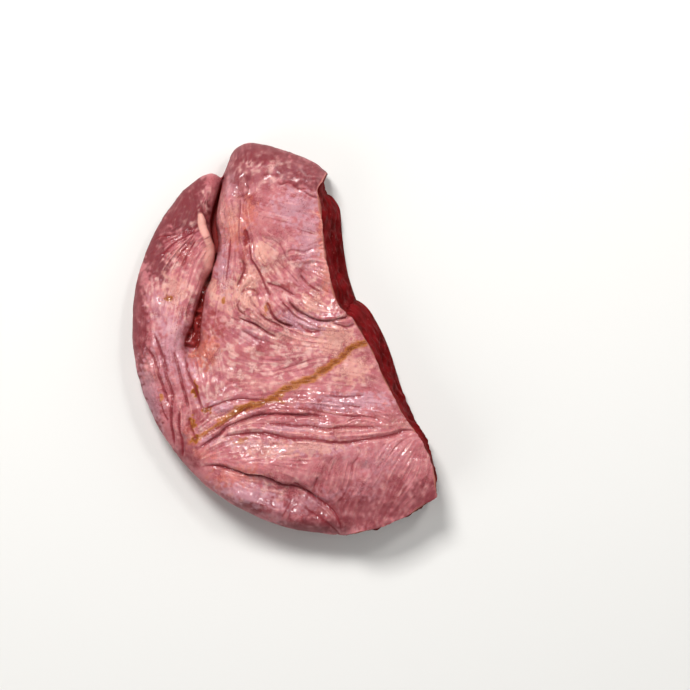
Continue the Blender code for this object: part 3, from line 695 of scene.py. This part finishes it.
def blended(across, along):
    """The four sides blended into each other (a Coons patch), at these shares of the two directions."""
    u, v = across[None, :, None], along[:, None, None]
    left, right = at_share(left_side, along)[:, None, :], at_share(right_side, along)[:, None, :]
    lower, upper = at_share(lower_side, across)[None, :, :], at_share(upper_side, across)[None, :, :]
    left_corners = (1 - v) * lower[:, :1] + v * upper[:, :1]
    right_corners = (1 - v) * lower[:, -1:] + v * upper[:, -1:]
    return (1 - u) * (left - left_corners) + u * (right - right_corners) + (1 - v) * lower + v * upper


def evened(grid):
    """The grid with its inner places moved until they solve Winslow's equations. The rim stays."""
    grid = grid.copy()
    for _ in range(EVENING_ROUNDS):
        du = grid[1:-1, 2:] - grid[1:-1, :-2]
        dv = grid[2:, 1:-1] - grid[:-2, 1:-1]
        uu, vv, uv = ((a * b).sum(axis=2, keepdims=True) for a, b in ((du, du), (dv, dv), (du, dv)))
        twist = grid[2:, 2:] - grid[2:, :-2] - grid[:-2, 2:] + grid[:-2, :-2]
        beside = vv * (grid[1:-1, 2:] + grid[1:-1, :-2]) + uu * (grid[2:, 1:-1] + grid[:-2, 1:-1])
        grid[1:-1, 1:-1] = (beside - uv * twist / 2) / (2 * (uu + vv))
    return grid


def refined(rows, count):
    """The rows of a grid at count + 1 even places, each read straight between its two neighbours."""
    places = np.linspace(0, len(rows) - 1, count + 1)
    below = np.minimum(places.astype(int), len(rows) - 2)
    share = (places - below)[:, None, None]
    return rows[below] * (1 - share) + rows[below + 1] * share


def drawn_in(points):
    """Places beside the slit move towards it, and places near the margin towards that, so that the
    distance d becomes w(1 - cos(90 d/w)), which spaces them evenly round the margin's quarter ellipse."""
    share, distance, _ = nearest_on(slit_line, points)
    nearest = values_at(slit_line[:, :2], share)
    pull = SLIT_CROWDING * np.exp(-2 * (distance / SLIT_REACH) ** 2) * smooth_step(share / 0.15)
    points = points + (nearest - points) * pull[:, None]
    share, distance, _ = nearest_on(even_margin, points)
    nearest = values_at(even_margin, share)
    width = np.interp(share, *zip(*MARGIN_ROLL))
    rounded = 1 - np.cos(math.pi / 2 * np.clip(distance / width, 0, 1))
    closer = np.where(distance < width, width * rounded / np.maximum(distance, 1e-6), 1.0)
    off_the_cuts = ramp(nearest_on(right_side, points)[1], *OFF_THE_CUTS)
    pull = MARGIN_CROWDING * (1 - closer) * off_the_cuts
    return points + (nearest - points) * pull[:, None]


across, along = np.linspace(0, 1, COLUMNS + 1), np.linspace(0, 1, ROWS + 1)
coarse = blended(np.linspace(0, 1, EVENING_GRID[0] + 1), np.linspace(0, 1, EVENING_GRID[1] + 1))
shifts = evened(coarse) - coarse
shifts = refined(refined(shifts, ROWS).swapaxes(0, 1), COLUMNS).swapaxes(0, 1)
plan = drawn_in((blended(across, along) + shifts).reshape(-1, 2)).reshape(ROWS + 1, COLUMNS + 1, 2)
ground_height, margin_distance = slab_height(plan.reshape(-1, 2))
upper_face = np.concatenate([plan, ground_height.reshape(ROWS + 1, COLUMNS + 1, 1)], axis=2)
print("grid of", ROWS, "by", COLUMNS, "cells, height up to", round(float(ground_height.max()), 1), "mm")

# %% [markdown]
# ## Rim and sides
#
# From the rim the natural margin rolls under as the lower quarter of an ellipse. The two cuts run straight
# down instead, and the long one leans outwards, because the knife was held at a slant. Rim and rows
# together with the upper face are all the places that the skin and the cut pulp are made of.

# %% Rows of places from the rim down to the foot
SIDE_ROWS = 24
MARGIN_TUCK = 7.0  # how far the natural margin rolls in under itself
LOBE_TUCK = 4.5  # and how far at the lobes' tips
LOBE_TIPS = (50.0, 70.0)  # from where to where up the slab one passes into the other
CUT_SLANT = 9.5  # how far the long cut's foot stands out
CUT_SLANT_RAMPS = (0.55, 0.12)  # shares of the long cut over which the slant grows from its two ends
CUT_BLEND = 9.0  # distance over which cut and natural margin pass into each other
RIM_STEP = 0.5  # rough distance between two places of the rim


def rim_of(grid):
    """The grid's rim, once round anticlockwise from its lower left corner."""
    return np.concatenate([grid[0, :-1], grid[:-1, -1], grid[-1, :0:-1], grid[:0:-1, 0]])


def outward(rim):
    """Level direction away from the slab at each place of the rim, at right angles to the rim there."""
    heading = np.roll(rim, -4, axis=0) - np.roll(rim, 4, axis=0)
    heading /= np.linalg.norm(heading, axis=1, keepdims=True)
    return np.column_stack([heading[:, 1], -heading[:, 0]])


plan_shift = (plan.min(axis=(0, 1)) + plan.max(axis=(0, 1))) / 2
rim = rim_of(upper_face)
rim_number = np.arange(len(rim))
on_long_cut = (rim_number >= COLUMNS) & (rim_number <= COLUMNS + ROWS)
on_end_cut = (rim_number < COLUMNS) & (rim[:, 0] >= END_CUT[-1][0])
on_cut = on_long_cut | on_end_cut
blend = int(CUT_BLEND / RIM_STEP)
natural = 1 - np.mean([np.roll(on_cut, i) for i in range(-blend, blend + 1)], axis=0)
share_up = np.clip((rim_number - COLUMNS) / ROWS, 0, 1)
slant = CUT_SLANT * smooth_step(share_up / CUT_SLANT_RAMPS[0])
slant *= smooth_step((1 - share_up) / CUT_SLANT_RAMPS[1])
tuck = MARGIN_TUCK + (LOBE_TUCK - MARGIN_TUCK) * ramp(rim[:, 1], *LOBE_TIPS)
away = outward(rim[:, :2])

side_rows = [rim]
for down in np.arange(1, SIDE_ROWS + 1) / SIDE_ROWS:
    turn = down * math.pi / 2
    offset = slant * down * (1 - natural) - tuck * (1 - math.cos(turn)) * natural
    height = rim[:, 2] * (1 - down * (1 - natural) - math.sin(turn) * natural)
    side_rows.append(np.column_stack([rim[:, :2] + away * offset[:, None], height]))
sides = np.array(side_rows)
sides[-1, :, 2] = 0.0
print("sides of", SIDE_ROWS, "by", len(rim), "cells,", int(on_cut.sum()), "of them along the cuts")

# %% [markdown]
# ## Moving the surface by the relief
#
# Relief pushes each place along the surface's own normal, so a fold on the rolled margin stands out
# sideways and one on the back stands up. On the sides the map is read as a mirror image about the rim,
# which carries every fold over the margin and lets it run out towards the foot.

# %% Normals, relief and tissue at every place
LEVEL_OFF = 29.0  # height from which the highest folds are pressed down, as they sag under their own weight
HEADROOM = 2.6  # most that they rise above it
FOOT_REACH = 14.0  # how far in from the rim the foot reads the map, as a mirror image
MOTTLE_REACH = 8.0  # how far out along its normal a place on the margin reads the mottling
MOTTLE_MARGIN = (12.0, 20.0)  # distance from the margin over which it stops doing so
CALM = 0.25  # share of the fine wrinkles that the tight margin and the sides keep
CALM_MARGIN = (1.0, 9.0)  # distance from the margin over which the rest comes in
DRY = 0.2  # the same for the wet film
DRY_MARGIN = (5.0, 9.0)
SLIT_CALM = (0.0, 4.0)  # distance from the slit over which the wrinkles come in
CUT_STRIP = (30.0, 0.3)  # the strip's width, and its length as a share of the rim's

top_count = upper_face.shape[0] * upper_face.shape[1]
top_numbers = np.arange(top_count).reshape(upper_face.shape[:2])
side_numbers = top_count + np.arange(SIDE_ROWS * len(rim)).reshape(SIDE_ROWS, len(rim))
side_numbers = np.vstack([rim_of(top_numbers), side_numbers])
places = np.vstack([upper_face.reshape(-1, 3), sides[1:].reshape(-1, 3)])


def quads_of(numbers, closed=False):
    """Four corners for every cell of a grid of numbers, faces up if rows run to the left of columns."""
    following = np.roll(numbers, -1, axis=1) if closed else numbers[:, 1:]
    first = numbers if closed else numbers[:, :-1]
    return np.stack([first[:-1], following[:-1], following[1:], first[1:]], axis=-1).reshape(-1, 4)


def normals_of(places, quads):
    """Unit normals: the cross products of the cells' diagonals, added up at each corner."""
    a, b, c, d = (places[quads[:, k]] for k in range(4))
    face_normals = np.cross(c - a, d - b)
    total = np.zeros_like(places)
    for k in range(4):
        for axis in range(3):
            total[:, axis] += np.bincount(quads[:, k], face_normals[:, axis], len(places))
    return total / np.maximum(np.linalg.norm(total, axis=1, keepdims=True), 1e-9)


top_quads = quads_of(top_numbers)
side_quads = quads_of(side_numbers[::-1], closed=True)
normals = normals_of(places, np.vstack([top_quads, side_quads]))

down = np.linspace(0, 1, SIDE_ROWS + 1)[1:, None]
mirrored = rim[None, :, :2] - away * (down * FOOT_REACH)[..., None]
map_points = np.vstack([plan.reshape(-1, 2), mirrored.reshape(-1, 2)])
weight = np.concatenate([np.ones(top_count), ((1 - down**2) * natural).ravel()])

along_rim = np.concatenate([[0], np.cumsum(np.hypot(*np.diff(rim[:, :2], axis=0).T))])
# The cuts' grain is read from a strip of the map that is shorter than the rim, so it is drawn out along it.
grain_points = np.broadcast_arrays(MAP_LOW[0] + down * CUT_STRIP[0], MAP_LOW[1] + along_rim * CUT_STRIP[1])
grain_points = np.stack(grain_points, axis=-1).reshape(-1, 2)
cut_relief = 0.45 * read_map(noise_map(6.0, 1.6, 31), grain_points) + 0.5 * read_map(rumples, grain_points)
cut_weight = (np.sin(math.pi * down) ** 0.5 * (1 - natural)).ravel()

# Mottling is read some way out along each place's normal, so that it isn't drawn out on the steep margin.
off_the_cuts = ramp(nearest_on(right_side, plan.reshape(-1, 2))[1], *OFF_THE_CUTS)
on_margin = (1 - ramp(margin_distance, *MOTTLE_MARGIN)) * off_the_cuts
on_margin = np.concatenate([on_margin, np.tile(natural, SIDE_ROWS)])[:, None]
mottle_points = places[:, :2] + MOTTLE_REACH * normals[:, :2]
mottle_points = map_points + (mottle_points - map_points) * on_margin

side_margin = np.concatenate([margin_distance, np.zeros(SIDE_ROWS * len(rim))])
calm = CALM + (1 - CALM) * ramp(side_margin, *CALM_MARGIN)  # the margin is tight and has fewer wrinkles
wetness = (DRY + (1 - DRY) * ramp(side_margin, *DRY_MARGIN)) * read_map(wet, map_points)
share, slit_distance, _ = nearest_on(slit_line, map_points)
slit_distance -= values_at(slit_line, share)[:, 2]
calm *= 0.15 + 0.85 * ramp(slit_distance, *SLIT_CALM)
shift = (read_map(relief, map_points) + calm * read_map(fine_relief, map_points)) * weight
shift[top_count:] += cut_relief * cut_weight
places = places + normals * shift[:, None]
too_high = np.maximum(places[:, 2] - LEVEL_OFF, 0.0)
places[:, 2] -= too_high - HEADROOM * np.tanh(too_high / HEADROOM)
places[:, 2] = np.maximum(places[:, 2], 0.0)
places[:, :2] -= plan_shift
print("places from", places.min(axis=0).round(1), "to", places.max(axis=0).round(1))

# %% [markdown]
# ## What each place is made of, and where shade is painted
#
# The masks go into the mesh as five named attributes with three channels each, so that the materials can
# ask at any place how much fat, blood or bile there is, and where shade is painted. Some masks are worked out
# only here: how deep a place lies in the slit, how near it is to the knife's edge, where the membrane shows
# as a pale line, and how low it lies on the margin, which is painted darker there as shade.

# %% Masks at every place
KNIFE_EDGE = 0.6  # half width of the pale line along the long cut
LOW_SHADE = 0.5  # how dark the painted shade at the foot of the margin gets

# Raw tissue up to 1.3 mm beyond the slit's banks, but not at its two ends
wound = (1 - ramp(slit_distance, -0.2, 1.3)) * ramp(share, 0.0, 0.06) * (1 - 0.8 * ramp(share, 0.93, 0.98))
cut_distance = nearest_on(right_side[right_side[:, 1] > -80.0], map_points)[1]
knife_edge = np.exp(-((cut_distance / KNIFE_EDGE) ** 2)) * (0.35 + 0.65 * ramp(map_points[:, 1], 15.0, 45.0))

MASKS = {
    # tissue: fat with painted highlight, peach, and mauve with painted sheen; stain: dusky pulp with painted
    # shadow, blood, bile; form: creases and wrinkles, painted as shade and highlight
    "tissue": (fat_and_highlight, peach, mauve_and_sheen),
    "stain": (dusky_and_shadow, bloody, bile),
    "form": (gully, 0.5 + 0.2 * fine_lines, 0.5 + 0.2 * coarse_lines),
}
masks = {name: [read_map(channel, map_points) for channel in channels] for name, channels in MASKS.items()}
cord_here = read_map(cord, map_points)
mottling = read_map(blotches, mottle_points)
depth_down = np.concatenate([np.zeros(top_count), np.repeat(down.ravel(), len(rim))])
# Painted shade: the natural margin's sides darken towards the foot, where they turn under
low_shade = np.concatenate([np.zeros(top_count), (LOW_SHADE * natural * ramp(down, 0.1, 1.0)).ravel()])
masks["stain"][0] = np.maximum(masks["stain"][0], low_shade) * np.clip(0.98 - 0.14 * mottling, 0.6, 1.1)
# Painted shade in the wrinkles' valleys and painted highlight on their ridges, weaker on the tight margin and
# where the skin is already dark
relief_shade_strength = calm * (1 - 0.6 * np.clip(masks["stain"][0], 0, 1))
masks["form"][1:] = [0.5 + (channel - 0.5) * relief_shade_strength for channel in masks["form"][1:]]
# The painted crease shade is weaker beside the slit and on the cord
masks["form"][0] *= (0.3 + 0.7 * ramp(slit_distance, *SLIT_CALM)) * (1 - 0.9 * cord_here)
masks["trim"] = [wound, knife_edge, cord_here]
masks["side"] = [depth_down, 0.5 + calm * (0.09 + 0.17 * mottling) * read_map(mottled, map_points), wetness]
masks = {name: np.stack(channels + [0 * wound + 1], axis=1) for name, channels in masks.items()}
print("masks:", ", ".join(masks))

# %% [markdown]
# ## Three pieces
#
# The skin, the two cut faces and the underside are three surfaces that share their edges place for place,
# so the slab is closed all round. Each has a material of its own, and the shading breaks cleanly along
# the knife's edge.


# %% Meshes
def make_piece(name, places, quads, masks=None):
    """An object of these cells, with only the places that they use, and a colour attribute for each mask."""
    used, corners = np.unique(quads, return_inverse=True)
    mesh = bpy.data.meshes.new(name)
    faces = [tuple(dict.fromkeys(face)) for face in corners.reshape(quads.shape).tolist()]
    mesh.from_pydata((places[used] * MM).tolist(), [], faces)
    mesh.shade_smooth()
    for mask, values in (masks or {}).items():
        layer = mesh.color_attributes.new(mask, "FLOAT_COLOR", "POINT")
        layer.data.foreach_set("color", values[used].astype(np.float32).ravel())
    piece = bpy.data.objects.new(name, mesh)
    bpy.context.scene.collection.objects.link(piece)
    print(name, "has", len(used), "places and", len(quads), "cells")
    return piece


cut_cell = on_cut & np.roll(on_cut, -1)
side_quads = side_quads.reshape(SIDE_ROWS, len(rim), 4)
skin_quads = np.vstack([top_quads, side_quads[:, ~cut_cell].reshape(-1, 4)])
skin = make_piece("spleen_skin", places, skin_quads, masks)
pulp = make_piece("spleen_cut_pulp", places, side_quads[:, cut_cell].reshape(-1, 4), masks)

UNDERSIDE_RINGS = 14
UNDERSIDE_CENTRE = (-22.0, -10.0)
DIMPLE = 0.35  # how deep the underside's creases are

foot = places[side_numbers[-1]]
inward = np.linspace(0, 1, UNDERSIDE_RINGS + 1)[:, None, None]
centre = np.array([*UNDERSIDE_CENTRE, 0.0])
underside_rings = foot * (1 - inward) + centre * inward
crease = read_map(coarse_lines, underside_rings.reshape(-1, 3)[:, :2]).reshape(underside_rings.shape[:2])
underside_rings[1:-1, :, 2] += DIMPLE * np.exp(-((crease[1:-1] / 0.5) ** 2))
underside_numbers = np.arange(underside_rings.shape[0] * len(rim)).reshape(underside_rings.shape[:2])
underside_numbers[-1] = underside_numbers[-1, 0]
underside_quads = quads_of(underside_numbers[::-1], closed=True)
underside = make_piece("spleen_underside", underside_rings.reshape(-1, 3), underside_quads)

# %% [markdown]
# ## Materials
#
# Colours were measured on the photograph in the light that lies on the meat there, and are written as web
# colours. One function turns them into the linear values that the renderer mixes, and one adds a node.


# %% Colours and nodes
def linear(web_colour):
    """A web colour such as BC7C7E as linear red, green, blue and 1."""
    encoded = np.array([int(web_colour[i : i + 2], 16) for i in (0, 2, 4)]) / 255
    decoded = np.where(encoded <= 0.04045, encoded / 12.92, ((encoded + 0.055) / 1.055) ** 2.4)
    return (*decoded.tolist(), 1.0)


def add_node(tree, kind, inputs=None, **settings):
    """Adds a shader node. Inputs are given by name or number, as a value or as the socket to link. A Map
    Range takes a value, its low and high, and the results' low and high as inputs 0 to 4. A Mix of colours
    takes the share as 0 and the two colours as 6 and 7, and gives the mix as output 2."""
    made = tree.nodes.new("ShaderNode" + kind)
    for name, value in settings.items():
        setattr(made, name, value)
    for name, value in (inputs or {}).items():
        if isinstance(value, bpy.types.NodeSocket):
            tree.links.new(value, made.inputs[name])
        else:
            made.inputs[name].default_value = value
    return made


def per_metre(size):
    """The scale of a pattern whose bumps or cells measure size millimetres: how many fit in a metre."""
    return 1 / (size * MM)


def new_material(name, finish):
    """A node material whose Principled shader has this finish, and the object's coordinates in metres."""
    material = bpy.data.materials.new(name)
    material.use_nodes = True
    tree = material.node_tree
    tree.nodes.clear()
    shader = add_node(tree, "BsdfPrincipled", finish)
    add_node(tree, "OutputMaterial", {"Surface": shader.outputs[0]})
    return material, tree, shader, add_node(tree, "TexCoord").outputs["Object"]


# %% [markdown]
# ### Wet membrane
#
# The capsule of a spleen is a tough, milky film over dark pulp. Where it is thick or has fat behind it, it
# looks cream or pink; where it is thin, the pulp shows through purple. Slaughter leaves bile along its
# vessels, and serum keeps it wet, so it has sharp small glints over soft deep colour. Shade is painted into
# the colour
# too: darker in the creases and the wrinkles' valleys, paler on their ridges, a shadow along the left and
# lower margin, and a few patches of sheen and highlight.

# %% Membrane of the spleen
MEMBRANE = ("BC7478", "A85A60")  # the two tones of the film itself
# Mask and channel, colour, from where to where the mask works, how far noise breaks its edge, most cover
TINTS = [
    ("side", "Green", "D8AAA2", 0.45, 0.95, 0.25, 0.85),  # thick film, cream
    ("side", "Green", "A65C66", 0.52, 0.1, 0.25, 0.85),  # thin film, rose
    ("stain", "Red", "6C282E", 0.05, 1.2, 0.25, 0.88),  # dark pulp through thin film on the lobes, and painted shadow along the left and lower margin and the foot of the sides
    ("tissue", "Blue", "C08E98", 0.15, 1.1, 0.6, 0.9),  # milky mauve film, and painted sheen along the flap's folds and on the lower lobe
    ("tissue", "Green", "C06A58", 0.15, 1.0, 0.6, 0.9),  # peach: thin fat on red pulp
    ("tissue", "Red", "D0988A", 0.1, 1.15, 0.5, 0.9),  # cream fat, and painted highlight on two lit patches
    ("stain", "Green", "8C2C2A", 0.2, 1.0, 0.7, 0.9),  # blood under the film
    ("stain", "Blue", "B06C2A", 0.05, 0.5, 0.5, 0.85),  # bile, thin
    ("stain", "Blue", "7A3C08", 0.35, 0.85, 0.6, 0.9),  # and thick
    ("form", "Red", "862C34", 0.1, 1.1, 0.2, 0.85),  # painted shade in the creases
    ("trim", "Red", "84180F", 0.2, 0.8, 0.15, 0.9),  # raw tissue in the slit
    ("trim", "Green", "CC8076", 0.1, 0.9, 0.5, 0.75),  # edge of the film along the cut
    ("trim", "Blue", "E0A598", 0.1, 0.7, 0.2, 0.9),  # cord of fat
    ("form", "Green", "8A3E42", 0.45, -0.05, 0.25, 0.9),  # painted shade in the valleys of the fine wrinkles
    ("form", "Green", "E0B0A4", 0.58, 1.15, 0.35, 0.7),  # and painted highlight on their ridges
    ("form", "Blue", "8F4549", 0.4, -0.1, 0.3, 0.9),  # the same painted shade for the coarser wrinkles' valleys
    # and painted highlight on the coarser wrinkles' ridges
    ("form", "Blue", "DCA89E", 0.62, 1.2, 0.35, 0.9),
]
membrane, tree, shader, position = new_material("wet_spleen_membrane", {
    "IOR": 1.38, "Specular IOR Level": 0.22, "Coat Roughness": 0.1, "Coat IOR": 1.34,
    "Subsurface Weight": 0.3, "Subsurface Scale": 0.001, "Subsurface Radius": (2.6, 0.8, 0.6),
})
channels = {}
for name in masks:
    stored = add_node(tree, "Attribute", attribute_name=name)
    channels[name] = add_node(tree, "SeparateColor", {0: stored.outputs["Color"]})
mottle = add_node(
    tree, "TexNoise", {"Vector": position, "Scale": per_metre(2.38), "Detail": 5.0, "Roughness": 0.6}
)
clouds = add_node(tree, "TexNoise", {"Vector": position, "Scale": per_metre(7.7), "Detail": 3.0})
spread = add_node(tree, "MapRange", {0: clouds.outputs[0], 1: 0.35, 2: 0.65})
colour = add_node(
    tree, "Mix", {0: spread.outputs[0], 6: linear(MEMBRANE[0]), 7: linear(MEMBRANE[1])}, data_type="RGBA"
).outputs[2]
for mask, channel, tint, low, high, broken, most in TINTS:
    noise = {0: mottle.outputs[0], 1: broken, 2: -0.5 * broken}
    noise = add_node(tree, "Math", noise, operation="MULTIPLY_ADD")
    amount = {0: channels[mask].outputs[channel], 1: noise.outputs[0]}
    amount = add_node(tree, "Math", amount, operation="ADD")
    amount = {0: amount.outputs[0], 1: low, 2: high, 4: most}
    amount = add_node(tree, "MapRange", amount, interpolation_type="SMOOTHSTEP")
    colour = add_node(
        tree, "Mix", {0: amount.outputs[0], 6: colour, 7: linear(tint)}, data_type="RGBA"
    ).outputs[2]

# Small blood vessels: the edges of uneven cells, showing in some places and hidden in others.
VESSEL = "7C3034"
VESSEL_BEND = 0.009  # metres by which noise bends them at most
bend = add_node(tree, "TexNoise", {"Vector": position, "Scale": per_metre(3.33), "Detail": 3.0})
bent = {0: bend.outputs["Color"], 1: (VESSEL_BEND,) * 3, 2: position}
bent = add_node(tree, "VectorMath", bent, operation="MULTIPLY_ADD")
cells = {"Vector": bent.outputs[0], "Scale": per_metre(2.5)}
cells = add_node(tree, "TexVoronoi", cells, feature="DISTANCE_TO_EDGE")
vessels = add_node(tree, "MapRange", {0: cells.outputs["Distance"], 1: 0.1, 2: 0.0})
showing = add_node(tree, "MapRange", {0: clouds.outputs[0], 1: 0.46, 2: 0.66, 4: 0.7})
vessels = add_node(tree, "Math", {0: vessels.outputs[0], 1: showing.outputs[0]}, operation="MULTIPLY")
bare = add_node(tree, "MapRange", {0: channels["trim"].outputs["Blue"], 1: 0.1, 2: 0.4, 3: 1.0, 4: 0.0})
vessels = add_node(tree, "Math", {0: vessels.outputs[0], 1: bare.outputs[0]}, operation="MULTIPLY")
colour = add_node(
    tree, "Mix", {0: vessels.outputs[0], 6: colour, 7: linear(VESSEL)}, data_type="RGBA"
).outputs[2]

grain = {"Vector": position, "Scale": per_metre(0.714), "Detail": 3.0, "Roughness": 0.6}
grain = add_node(tree, "TexNoise", grain)
bump = add_node(tree, "Bump", {"Strength": 0.18, "Distance": 0.0002, "Height": grain.outputs[0]})
# Serum: a clear smooth coat where the wetness mask is high, with an edge that noise breaks up
noise = add_node(tree, "Math", {0: mottle.outputs[0], 1: 1.2, 2: -0.6}, operation="MULTIPLY_ADD")
film = add_node(tree, "Math", {0: channels["side"].outputs["Blue"], 1: noise.outputs[0]}, operation="ADD")
film = add_node(tree, "MapRange", {0: film.outputs[0], 1: 0.4, 2: 0.8}, interpolation_type="SMOOTHSTEP")
rough = add_node(tree, "MapRange", {0: film.outputs[0], 3: 0.55, 4: 0.28})
for name, value in {
    "Base Color": colour, "Roughness": rough.outputs[0], "Normal": bump.outputs[0],
    "Coat Weight": film.outputs[0],
}.items():
    tree.links.new(value, shader.inputs[name])
print("membrane of", len(tree.nodes), "nodes")

# %% [markdown]
# ### Cut pulp
#
# Cut through, the organ is a dark red sponge full of blood, with pale threads and dots in it. The knife
# leaves it finely granular, and blood fills the grains, so it looks almost black where no light catches it.

# %% Cut face
PULP = ("560808", "7A1418")
THREADS = "A65850"
cut_pulp, tree, shader, position = new_material("cut_spleen_pulp", {
    "Roughness": 0.6, "IOR": 1.38, "Specular IOR Level": 0.04,
    "Coat Weight": 0.05, "Coat Roughness": 0.1, "Coat IOR": 1.34,
    "Subsurface Weight": 0.08, "Subsurface Scale": 0.001, "Subsurface Radius": (2.0, 0.5, 0.4),
})
stored = add_node(tree, "Attribute", attribute_name="side")
down_channel = add_node(tree, "SeparateColor", {0: stored.outputs["Color"]})
grain = {"Vector": position, "Scale": per_metre(1.43), "Detail": 5.0, "Roughness": 0.65}
grain = add_node(tree, "TexNoise", grain)
clouds = add_node(tree, "TexNoise", {"Vector": position, "Scale": per_metre(6.25), "Detail": 4.0})
dark = add_node(tree, "MapRange", {0: clouds.outputs[0], 1: 0.35, 2: 0.65})
colour = add_node(
    tree, "Mix", {0: dark.outputs[0], 6: linear(PULP[0]), 7: linear(PULP[1])}, data_type="RGBA"
).outputs[2]
dots = add_node(tree, "TexVoronoi", {"Vector": position, "Scale": per_metre(2.38)})
dots = add_node(tree, "MapRange", {0: dots.outputs["Distance"], 1: 0.2, 2: 0.05, 4: 0.3})
colour = add_node(
    tree, "Mix", {0: dots.outputs[0], 6: colour, 7: linear(THREADS)}, data_type="RGBA"
).outputs[2]
# The membrane's own thickness shows as a pale rim along the top of the cut.
MEMBRANE_RIM = "C07A6C"
film = add_node(tree, "MapRange", {0: down_channel.outputs["Red"], 1: 0.07, 2: 0.0})
colour = add_node(
    tree, "Mix", {0: film.outputs[0], 6: colour, 7: linear(MEMBRANE_RIM)}, data_type="RGBA"
).outputs[2]
bump = add_node(tree, "Bump", {"Strength": 0.6, "Distance": 0.0006, "Height": grain.outputs[0]})
tree.links.new(colour, shader.inputs["Base Color"])
tree.links.new(bump.outputs[0], shader.inputs["Normal"])
print("cut pulp of", len(tree.nodes), "nodes")

# %% [markdown]
# ### Underside
#
# The side that lies down is membrane too, pressed flat and a little paler, because the blood has drained
# from it.

# %% Membrane of the underside
PRESSED = ("B5767A", "8E464C")
pressed, tree, shader, position = new_material(
    "pressed_spleen_membrane", {"Roughness": 0.35, "IOR": 1.38, "Coat Weight": 0.5, "Coat Roughness": 0.15}
)
clouds = add_node(tree, "TexNoise", {"Vector": position, "Scale": per_metre(6.25), "Detail": 5.0})
spread = add_node(tree, "MapRange", {0: clouds.outputs[0], 1: 0.35, 2: 0.65})
colour = add_node(
    tree, "Mix", {0: spread.outputs[0], 6: linear(PRESSED[0]), 7: linear(PRESSED[1])}, data_type="RGBA"
).outputs[2]
tree.links.new(colour, shader.inputs["Base Color"])

for piece, material in ((skin, membrane), (pulp, cut_pulp), (underside, pressed)):
    piece.data.materials.append(material)
    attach(piece, "root")
    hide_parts("spleen_slab")
print("materials:", membrane.name, cut_pulp.name, pressed.name)

# %% [markdown]
# ## Floor, light and camera
#
# The photograph looks straight down. Two windows stand beyond the top of the picture, left and right of it,
# and pale walls on both sides send back the rest of the light. A long lens from well above keeps the sides
# as upright as they look.

# %% Floor
FLOOR_SIZE = 4.0
floor_mesh = bpy.data.meshes.new("floor")
corners = [(x * FLOOR_SIZE / 2, y * FLOOR_SIZE / 2, 0.0) for x, y in ((-1, -1), (1, -1), (1, 1), (-1, 1))]
floor_mesh.from_pydata(corners, [], [(0, 1, 2, 3)])
floor = bpy.data.objects.new("floor", floor_mesh)
bpy.context.scene.collection.objects.link(floor)
# Painted board: dull and off-white, so that it gives the meat a soft light from below and no reflections.
board, *_ = new_material("pale_painted_board", {"Base Color": linear("DEDCD8"), "Roughness": 0.7})
floor_mesh.materials.append(board)

# %% Light
ROOM_COLOUR = (0.92, 0.96, 1.0, 1.0)
ROOM_STRENGTH = 0.14
world = bpy.data.worlds.new("soft_room_light")
world.use_nodes = True
world.node_tree.nodes["Background"].inputs["Color"].default_value = ROOM_COLOUR
world.node_tree.nodes["Background"].inputs["Strength"].default_value = ROOM_STRENGTH
bpy.context.scene.world = world

LIGHTS = [  # name, place in metres, side in metres, power in watts
    ("window", (-0.28, 0.68, 1.05), 0.38, 16.0),
    ("second window", (0.48, 0.56, 1.05), 0.18, 3.6),
    ("pale wall to the right", (1.5, 0.3, 1.1), 1.4, 10.0),
    ("pale wall to the left", (-1.4, -0.9, 1.1), 1.4, 14.0),
]
for name, place, side, power in LIGHTS:
    light = bpy.data.lights.new(name, "AREA")
    light.size = side
    light.energy = power
    lamp = bpy.data.objects.new(name, light)
    lamp.location = place
    lamp.rotation_euler = (-lamp.location).to_track_quat("-Z", "Y").to_euler()
    lamp.visible_glossy = "window" in name  # the walls only fill the shadows, and leave the meat its depth
    bpy.context.scene.collection.objects.link(lamp)

# %% Camera
CAMERA_HEIGHT = 1.6
SENSOR = 36.0
PICTURE = 690  # the photograph's width and height in pixels
BACK_HEIGHT = 0.024  # height of the meat's back, where a pixel spans PIXEL millimetres
camera_data = bpy.data.cameras.new("camera")
camera_data.sensor_width = SENSOR
camera_data.lens = SENSOR * (CAMERA_HEIGHT - BACK_HEIGHT) / (PICTURE * PIXEL * MM)
camera = bpy.data.objects.new("camera", camera_data)
camera.location = (
    (PICTURE / 2 - PIXEL_ORIGIN[0]) * PIXEL * MM - plan_shift[0] * MM,
    (PIXEL_ORIGIN[1] - PICTURE / 2) * PIXEL * MM - plan_shift[1] * MM,
    CAMERA_HEIGHT,
)
bpy.context.scene.collection.objects.link(camera)
bpy.context.scene.camera = camera
bpy.context.scene.view_settings.view_transform = "Standard"
